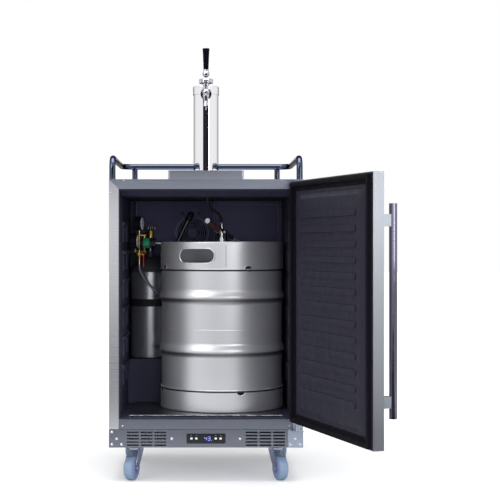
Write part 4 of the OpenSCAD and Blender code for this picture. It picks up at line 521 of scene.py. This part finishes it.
# Coupler lever: bright arms, a brown grip and a pale end
PIVOT = P(KEG_X, KEG_D, COUPLER_Z)
lean = math.radians(23.1)
turn = math.radians(58)
REACH = Vector((-math.cos(lean) * math.cos(turn), -math.cos(lean) * math.sin(turn), math.sin(lean)))
grip = polished("coupler_lever_metal", rgb(206, 206, 212), 0.14)
far = grip.along(PIVOT, REACH)
grip.zone(grip.within(far, 0.0302, 0.0957), rgb(74, 44, 44), 0.42, 0.0)
grip.zone(grip.math("GREATER_THAN", far, 0.0957), rgb(226, 230, 238), 0.3, 0.0)
M["coupler_lever"] = grip
# Coupler body: bright metal with a dark gas inlet
coup = polished("coupler_metal", rgb(206, 206, 212), 0.12, **EDGE)
yaw = math.radians(35)
INLET = Vector((math.cos(yaw), math.sin(yaw), 0))
coup.zone(coup.math("GREATER_THAN", coup.along(P(KEG_X, KEG_D, INLET_Z), INLET), 0.022),
    rgb(34, 33, 40), 0.4, 0.0)
M["coupler"] = coup

looks = {
    "outer_case": "steel_case", "front_frame": "frame_steel", "inner_liner": "liner",
    "insulation_foam": "foam", "keg_platform": "platform", "evaporator_cover": "cover",
    "evaporator_coil": "fins", "fan_motors": "black", "base_frame": "zinc", "toe_grille": "steel_toe_painted_shade",
    "control_panel": "panel", "compressor": "black", "condenser_coil": "fins", "case_screws": "screws",
    "hinge_brackets": "zinc", "guard_rail": "rail", "tower_column": "tower", "tower_cap": "tower",
    "tap_shank": "chrome", "faucet_body": "chrome", "faucet_bonnet": "chrome", "cylinder_strap": "strap",
    "caster_plates": "zinc", "gas_cylinder": "bottle", "cylinder_valve": "valve",
    "regulator": "regulator", "shutoff_valve": "shutoff", "evaporator_fan": "black",
    "condenser_fan": "black", "button_power": "white", "button_light": "white", "button_down": "white",
    "button_up": "white", "drip_tray": "steel_x", "drip_grid": "steel_x", "faucet_shaft": "chrome",
    "tap_lever": "chrome", "tap_handle": "tap_black", "valve_handwheel": "wheel_black",
    "regulator_adjuster": "chrome", "shutoff_lever": "red", "keg_shell": "keg", "coupler_body": "coupler",
    "coupler_lever": "coupler_lever", "door_skin": "steel_z", "door_liner": "door_liner",
    "door_foam": "foam", "door_handle": "handle"}

# Casters: grey-blue tyres on violet hubs
for side, corner in ((-1, "l"), (1, "r")):
    for row, x, d in CASTERS:
        a = math.radians(CASTER_TURN * side)
        axle = P(side * x + CASTER_TRAIL * math.sin(a), d - CASTER_TRAIL * math.cos(a), WHEEL_R)
        wheel = moulded("tyre_" + row + corner, rgb(122, 142, 168), 0.42, 260, 0.00003)
        off = wheel.off_line(axle, (math.cos(a), math.sin(a), 0))
        wheel.zone(wheel.math("LESS_THAN", off, 0.0243), rgb(138, 136, 196), 0.4, 0.0)
        wheel.zone(wheel.math("LESS_THAN", off, 0.0105), rgb(168, 168, 206), 0.35, 0.2)
        M["tyre_" + row + corner] = wheel
        looks["caster_fork_" + row + corner] = "zinc"
        looks["caster_wheel_" + row + corner] = "tyre_" + row + corner

# The front frame is one sheet form, brushed along its posts and along its rails; its posts are painted
# lighter and its bottom rail darker than its other rails, as painted light and painted shade
frame_steel = brushed("frame_steel", rgb(168, 174, 190), ALONG_X)
out = frame_steel.math("ABSOLUTE", frame_steel.axis("X"))
below = frame_steel.math("SUBTRACT", out, frame_steel.axis("Z"))
post = frame_steel.math("MULTIPLY", frame_steel.math("GREATER_THAN", out, 0.27),
    frame_steel.math("GREATER_THAN", below, -0.637))
low = frame_steel.math("MULTIPLY", frame_steel.math("LESS_THAN", out, 0.27),
    frame_steel.math("LESS_THAN", frame_steel.axis("Z"), 0.3))
across = frame_steel.b.inputs["Base Color"].links[0].from_socket
# Posts: lighter colour, painted light
post_painted_light = frame_steel.shade(frame_steel.noise(ALONG_Z, 4, 0.7), 0.95, 1.04, rgb(222, 225, 231))
# Bottom rail: darker colour, painted shade
sill_painted_shade = frame_steel.shade(frame_steel.noise(ALONG_X, 4, 0.7), 0.95, 1.04, rgb(138, 143, 157))
frame_steel.paint(frame_steel.mix(low, frame_steel.mix(post, across, post_painted_light), sill_painted_shade))
M["frame_steel"] = frame_steel

for name, key in looks.items():
    mesh = nodes[name].data
    mesh.materials.clear()
    mesh.materials.append(M[key].m)

hose("gas_hose", "gas_line", GAS, 4.5, "gas_hose", ((0, 1.0), (1, 1.0)))
hose("beer_hose", "beer_line", BEER, 4.5, "beer_hose", ((0, 1.0), (1, 1.0)))
hose("air_duct", "air_hose", AIR, 8, "duct", ())

# Gauges: black ring, pale dial, ticks and needle

for name, centre, size, value in (("gauge_high", AXIS_HIGH, 24, 40), ("gauge_low", AXIS_LOW, 26, -95)):
    up = Vector((0, 0, 1))
    right = up.cross(FACING)
    face = centre + FACING * 0.0101

    def on_dial(angle, r, lift):
        a = math.radians(angle)
        return face + (r * (math.cos(a) * up + math.sin(a) * right) + lift * FACING) / 1000

    s = Shape()
    s.turned(centre, FACING, [(size - 2.3, 10.3), (size - 2, 11.7), (size - 1.2, 12.4), (size - 0.2, 12.4),
        (size + 0.5, 11.6), (size + 0.5, 8.6), (size - 0.2, 8.2)], closed=True)
    s.done(name + "_bezel", "cabinet", "bezel")
    s = Shape()
    s.turned(centre, FACING, [(size - 2.1, 10.1), (size - 2.4, 10.25), (0.4, 10.3)])
    s.done(name + "_dial", "cabinet", "dial")
    s = Shape()
    for i in range(31):
        a = -135 + 9 * i
        inner = size - (7.2 if i % 5 == 0 else 5)
        w = 1.6 if i % 5 == 0 else 0.8
        s.plate([on_dial(a - w, inner, 0.25), on_dial(a + w, inner, 0.25), on_dial(a + w, size - 3.2, 0.25),
            on_dial(a - w, size - 3.2, 0.25)], FACING * 0.0001)
    s.plate([on_dial(value - 9, -6, 0.7), on_dial(value + 9, -6, 0.7), on_dial(value + 1, size - 6, 0.7),
        on_dial(value - 1, size - 6, 0.7)], FACING * 0.0004)
    s.turned(face, FACING, [(2.6, 0.3), (2.6, 1.2), (2, 1.7), (0.3, 1.9)], sides=20)
    s.done(name + "_marks", "cabinet", "ink")

# Wire guard over the evaporator's fan, its black wires painted light grey as painted highlight, and the
# port's screws

s = Shape()
hub = P(FAN_X, COVER_D - 1.1, FAN_Z)
behind = Vector((0, GUARD_WIRE / 1000, 0))
for r in (5, 11, 14.6, 21.7, 28.9, 36.1, 43.2, 50.4):
    s.ring(hub, (0, 1, 0), r, GUARD_WIRE)
for a in (45, 135, 225, 315):
    c = math.radians(a)
    arm = Vector((math.cos(c), 0, math.sin(c)))
    s.tube([hub + arm * 0.004 - behind, hub + arm * 0.0146 - behind], GUARD_WIRE, sides=8)
s.turned(P(FAN_X, COVER_D, FAN_Z), (0, -1, 0), [(53.5, 0), (54, 1.8), (55.2, 2.4), (57, 2), (58, 0)],
    closed=True)
s.done("fan_guard", "cabinet", "guard")

s = Shape()
for x, z in ((-81, 842), (-23, 842)):
    s.turned(P(x, COVER_D, z), (0, -1, 0), [(6.5, 0), (6.2, 0.9), (3.6, 1.1), (3.4, 2.2), (2.2, 3),
        (0.4, 3.3)], sides=24)
s.done("port_screws", "cabinet", "black")

# Rolled edges of the cooling cover and of the recess beside it, painted lighter than the liner and cover as
# painted highlight

s = Shape()
s.tube([P(28.3, COVER_D + 0.9, z) for z in (560, 640, 740, 840, 884)], 1.9, sides=12)
s.tube([P(-240.3, COVER_D + 0.9, z) for z in (700, 780, 884)], 1.6, sides=12)
s.done("cover_edges", "cabinet", "cover_edge")


def round_loop(x0, x1, z0, z1, r, place, steps=6):
    """Rectangle with round corners; place puts each of its points into the scene."""
    out = []
    corners = ((x1 - r, z1 - r, 0), (x0 + r, z1 - r, 90), (x0 + r, z0 + r, 180), (x1 - r, z0 + r, 270))
    for cx, cz, start in corners:
        for k in range(steps + 1):
            a = math.radians(start + 90 * k / steps)
            out.append(place(cx + r * math.cos(a), cz + r * math.sin(a)))
    return out


s = Shape()
s.tube(round_loop(40, 251, 437, 875, 14, lambda x, z: P(x, 494.6, z)), 2.2, sides=12, closed=True)
s.done("recess_edge", "cabinet", "cover_edge")

# Display: two plain digits, a point and small marks over the buttons

s = Shape()
BARS = {"a": (0, 1, 1, 1), "b": (1, 0.5, 1, 1), "c": (1, 0, 1, 0.5), "d": (0, 0, 1, 0), "f": (0, 0.5, 0, 1),
    "g": (0, 0.5, 1, 0.5)}
for x0, bars in ((-5, "bcfg"), (5.5, "abcdg")):
    for k in bars:
        xa, za, xb, zb = BARS[k]
        a = Vector((x0 + xa * DIGIT_W + za, DIGIT_Z + za * DIGIT_H))
        b = Vector((x0 + xb * DIGIT_W + zb, DIGIT_Z + zb * DIGIT_H))
        t = (b - a).normalized()
        n = Vector((-t.y, t.x)) * DIGIT_BAR
        a, b = a + t * 0.6, b - t * 0.6
        six = [a, a + t + n, b - t + n, b, b - t - n, a + t - n]
        s.plate([P(q.x, -0.12, q.y) for q in six], Vector((0, -0.0002, 0)))
s.plate([P(x, -0.12, z) for x, z in ((15.6, 129.2), (17.4, 129.2), (17.4, 131), (15.6, 131))],
    Vector((0, -0.0002, 0)))
s.done("display_digits", "cabinet", "glow")
s = Shape()
s.ring(P(-45, -0.5, MARK_Z), (0, 1, 0), 1.5, 0.28, sides=24)
s.ring(P(-30, -0.5, MARK_Z), (0, 1, 0), 1.2, 0.28, sides=24)
for x, way in ((30, -1), (45, 1)):
    s.plate([P(x - 2, -0.42, MARK_Z - way), P(x + 2, -0.42, MARK_Z - way), P(x, -0.42, MARK_Z + 1.4 * way)],
        Vector((0, -0.0002, 0)))
s.done("panel_marks", "cabinet", "icon")

# Door gasket with its bellows, swept round the door

HINGE = Vector((281, -27))
OPEN = math.radians(107.4)


def on_door(x, d, z):
    """Point of the closed door, turned about the hinge to where it rests."""
    v = Vector((x, d)) - HINGE
    return P(HINGE.x + v.x * math.cos(OPEN) - v.y * math.sin(OPEN),
        HINGE.y + v.x * math.sin(OPEN) + v.y * math.cos(OPEN), z)


PROFILE = [(0.3, -12), (0.3, -9.6), (1.5, -8.6), (0.4, -7), (0.3, -5.4), (1.5, -4.2), (0.4, -2.6), (1.4, -1),
    (4, -0.5), (12.3, -0.5), (14.8, -1.1), (15.8, -3), (14.4, -4.8), (15.8, -6.6), (16.4, -8.6), (18.6, -9),
    (20, -8.6), (21.6, -9.6), (23.4, -8.6), (26.2, -8.8), (27.8, -10.2), (27.8, -12)]
s = Shape()
s.skin([round_loop(-293 + g, 283 - g, 191.3 + g, 925.7 - g, max(7 - g, 1.5),
    lambda x, z, d=d: on_door(x, d, z)) for g, d in PROFILE], closed=True)
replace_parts(s.done("door_seal", "door", "gasket", angle=60), "door_gasket")

# Keg: rolled edges of its grip holes and vents, the welds of its rims, its two ribs, and dark sheets in its
# vents as painted shade


def on_keg(bearing, r, u, z):
    """Point at radius r from the keg's axis, u aside of a bearing."""
    w = math.sqrt(r ** 2 - u * u)
    return P(KEG_X + w * math.cos(bearing) - u * math.sin(bearing),
        KEG_D + w * math.sin(bearing) + u * math.cos(bearing), z)


s = Shape()
for way in (-114.8, 65.2):
    s.tube(round_loop(-GRIP_HALF, GRIP_HALF, GRIP_LOW, GRIP_HIGH, GRIP_CORNER,
        lambda u, z, a=math.radians(way): on_keg(a, 200.9, u, z), 10), 2.6, sides=12, closed=True)
for z in KEG_WELDS:
    s.ring(P(KEG_X, KEG_D, z), (0, 0, 1), KEG_RIM_R, 1.5, sides=128)
ribs = Shape()
for z in KEG_RIBS:
    ribs.turned(P(KEG_X, KEG_D, z), (0, 0, 1), [(KEG_RIM_R, 13), (202.6, 7), (203.8, 1), (203.9, -3.5),
        (203.1, -6.5), (201, -9.5), (199.4, -12), (198.6, -12), (198.6, 13)], closed=True, sides=128)
# Dark half-moon sheets on the shell in place of the vent holes: painted shade
vent_shade = Shape()
for first, z in ((23.9, 659.5), (16.6, 270.5)):
    for k in range(4):
        a = math.radians(first + 90 * k - 90)
        half = [(13 * math.cos(q), 9 * math.sin(q) * (1 if z > 500 else -1))
            for q in (math.pi * i / 12 for i in range(13))]
        edge = [on_keg(a, 200.8, u, z + v) for u, v in half]
        vent_shade.plate(edge, Vector((math.cos(a), math.sin(a), 0)) * 0.0003)
        s.tube(edge, 1.1, sides=8)
s.done("keg_rims", "keg", "keg_rim")
ribs.done("keg_ribs", "keg", "keg")
vent_shade.done("keg_vent_shade", "keg", "vent_painted_shade")

# Front edge of the floor plate, painted far brighter than the plate's steel: a painted highlight

s = Shape()
s.plate([P(-238, 19.6, 203.4), P(238, 19.6, 203.4), P(238, 19.6, 206.5), P(-238, 19.6, 206.5)],
    Vector((0, -0.0005, 0)))
s.done("plate_edge", "cabinet", "plate_edge")

# Caster races, and the bolts that hold the plates

RACE = [(21, 103.9), (25.5, 103.9), (26, 103), (24.4, 101.6), (24.6, 100.4), (23.6, 99.4), (21.8, 99.2)]
BOLT = [(6.2, 104), (6.2, 103.2), (5, 103), (5, 100.6), (4.4, 100.2), (0.5, 100.1)]
races = Shape()
bolts = Shape()
for side in (-1, 1):
    for _, x, d in CASTERS:
        races.turned(P(side * x, d, 0), (0, 0, 1), RACE, closed=True)
        for dx in (-BOLT_OFF, BOLT_OFF):
            for dd in (-BOLT_OFF, BOLT_OFF):
                bolts.turned(P(side * x + dx, d + dd, 0), (0, 0, 1), BOLT, sides=6)
races.done("caster_races", "cabinet", "zinc")
bolts.done("caster_bolts", "cabinet", "bright_screw", angle=25)

# Stage: floor, world, lights, and two dark panels that metal reflects and the camera doesn't see


def plane(name, corners, mat):
    me = bpy.data.meshes.new(name)
    me.from_pydata([tuple(v) for v in corners], [], [(0, 1, 2, 3)])
    o = bpy.data.objects.new(name, me)
    C.scene.collection.objects.link(o)
    me.materials.append(mat)
    return o


floor_mat = Mat("floor_pale", (0.80, 0.80, 0.80), 0.9)
path = floor_mat.node("LightPath")
floor_mat.set("Emission Color", (1, 1, 1, 1))
away = floor_mat.vector("LENGTH", floor_mat.coord, (0, 0, 0)).outputs["Value"]
floor_mat.join(floor_mat.math("MULTIPLY", path.outputs["Is Camera Ray"],
    floor_mat.remap(away, 0.6, 1.8, 0.25, 0.9, True)), floor_mat.b.inputs["Emission Strength"])
plane("floor", [(-30, -30, 0), (30, -30, 0), (30, 30, 0), (-30, 30, 0)], floor_mat.m)

dark = Mat("dark_panel", (0.002, 0.003, 0.008), 0.9)
for name, corners in (
    ("dark_card", [(-0.78, -1.57, 1.0), (0.78, -1.57, 1.0), (0.78, -1.57, 1.7), (-0.78, -1.57, 1.7)]),
    ("floor_card", [(-2.2, -9.0, 0.004), (2.2, -9.0, 0.004), (2.2, -1.25, 0.004), (-2.2, -1.25, 0.004)])):
    card = plane(name, corners, dark.m)
    card.visible_camera = False
    card.visible_shadow = name == "dark_card"
    card.visible_diffuse = False

world = bpy.data.worlds.new("studio")
C.scene.world = world
world.use_nodes = True
wt = world.node_tree
bg = wt.nodes["Background"]
bg.inputs[0].default_value = (1, 1, 1, 1)
rays = wt.nodes.new("ShaderNodeLightPath")
white = rays.outputs["Is Camera Ray"]
for kind in ("Is Glossy Ray", "Is Transmission Ray"):
    either = wt.nodes.new("ShaderNodeMath")
    either.operation = "MAXIMUM"
    wt.links.new(white, either.inputs[0])
    wt.links.new(rays.outputs[kind], either.inputs[1])
    white = either.outputs[0]
strength = wt.nodes.new("ShaderNodeMapRange")
strength.inputs["To Min"].default_value = 0.55
strength.inputs["To Max"].default_value = 1.0
wt.links.new(white, strength.inputs["Value"])
wt.links.new(strength.outputs["Result"], bg.inputs["Strength"])


def lamp(name, loc, aim, size, power):
    d = bpy.data.lights.new(name, "AREA")
    d.shape = "RECTANGLE"
    d.size, d.size_y = size
    d.energy = power
    o = bpy.data.objects.new(name, d)
    C.scene.collection.objects.link(o)
    o.location = loc
    o.rotation_euler = (Vector(aim) - Vector(loc)).to_track_quat("-Z", "Y").to_euler()
    return o


lamp("key", (-2.2, -3.2, 2.6), (0, 0, 0.6), (1.8, 1.8), 40)
lamp("fill", (2.6, -2.6, 1.8), (0, 0, 0.6), (1.6, 2.2), 15).visible_glossy = False
lamp("front", (0.3, -4.6, 1.15), (0, 0, 0.55), (1.5, 1.5), 75).visible_glossy = False
lamp("strip", (1.5, -3.1, 1.25), (0.05, 0, 0.9), (0.4, 1.2), 14)
lamp("top", (0, -0.6, 3.4), (0, 0, 0.5), (2.4, 2.0), 72)
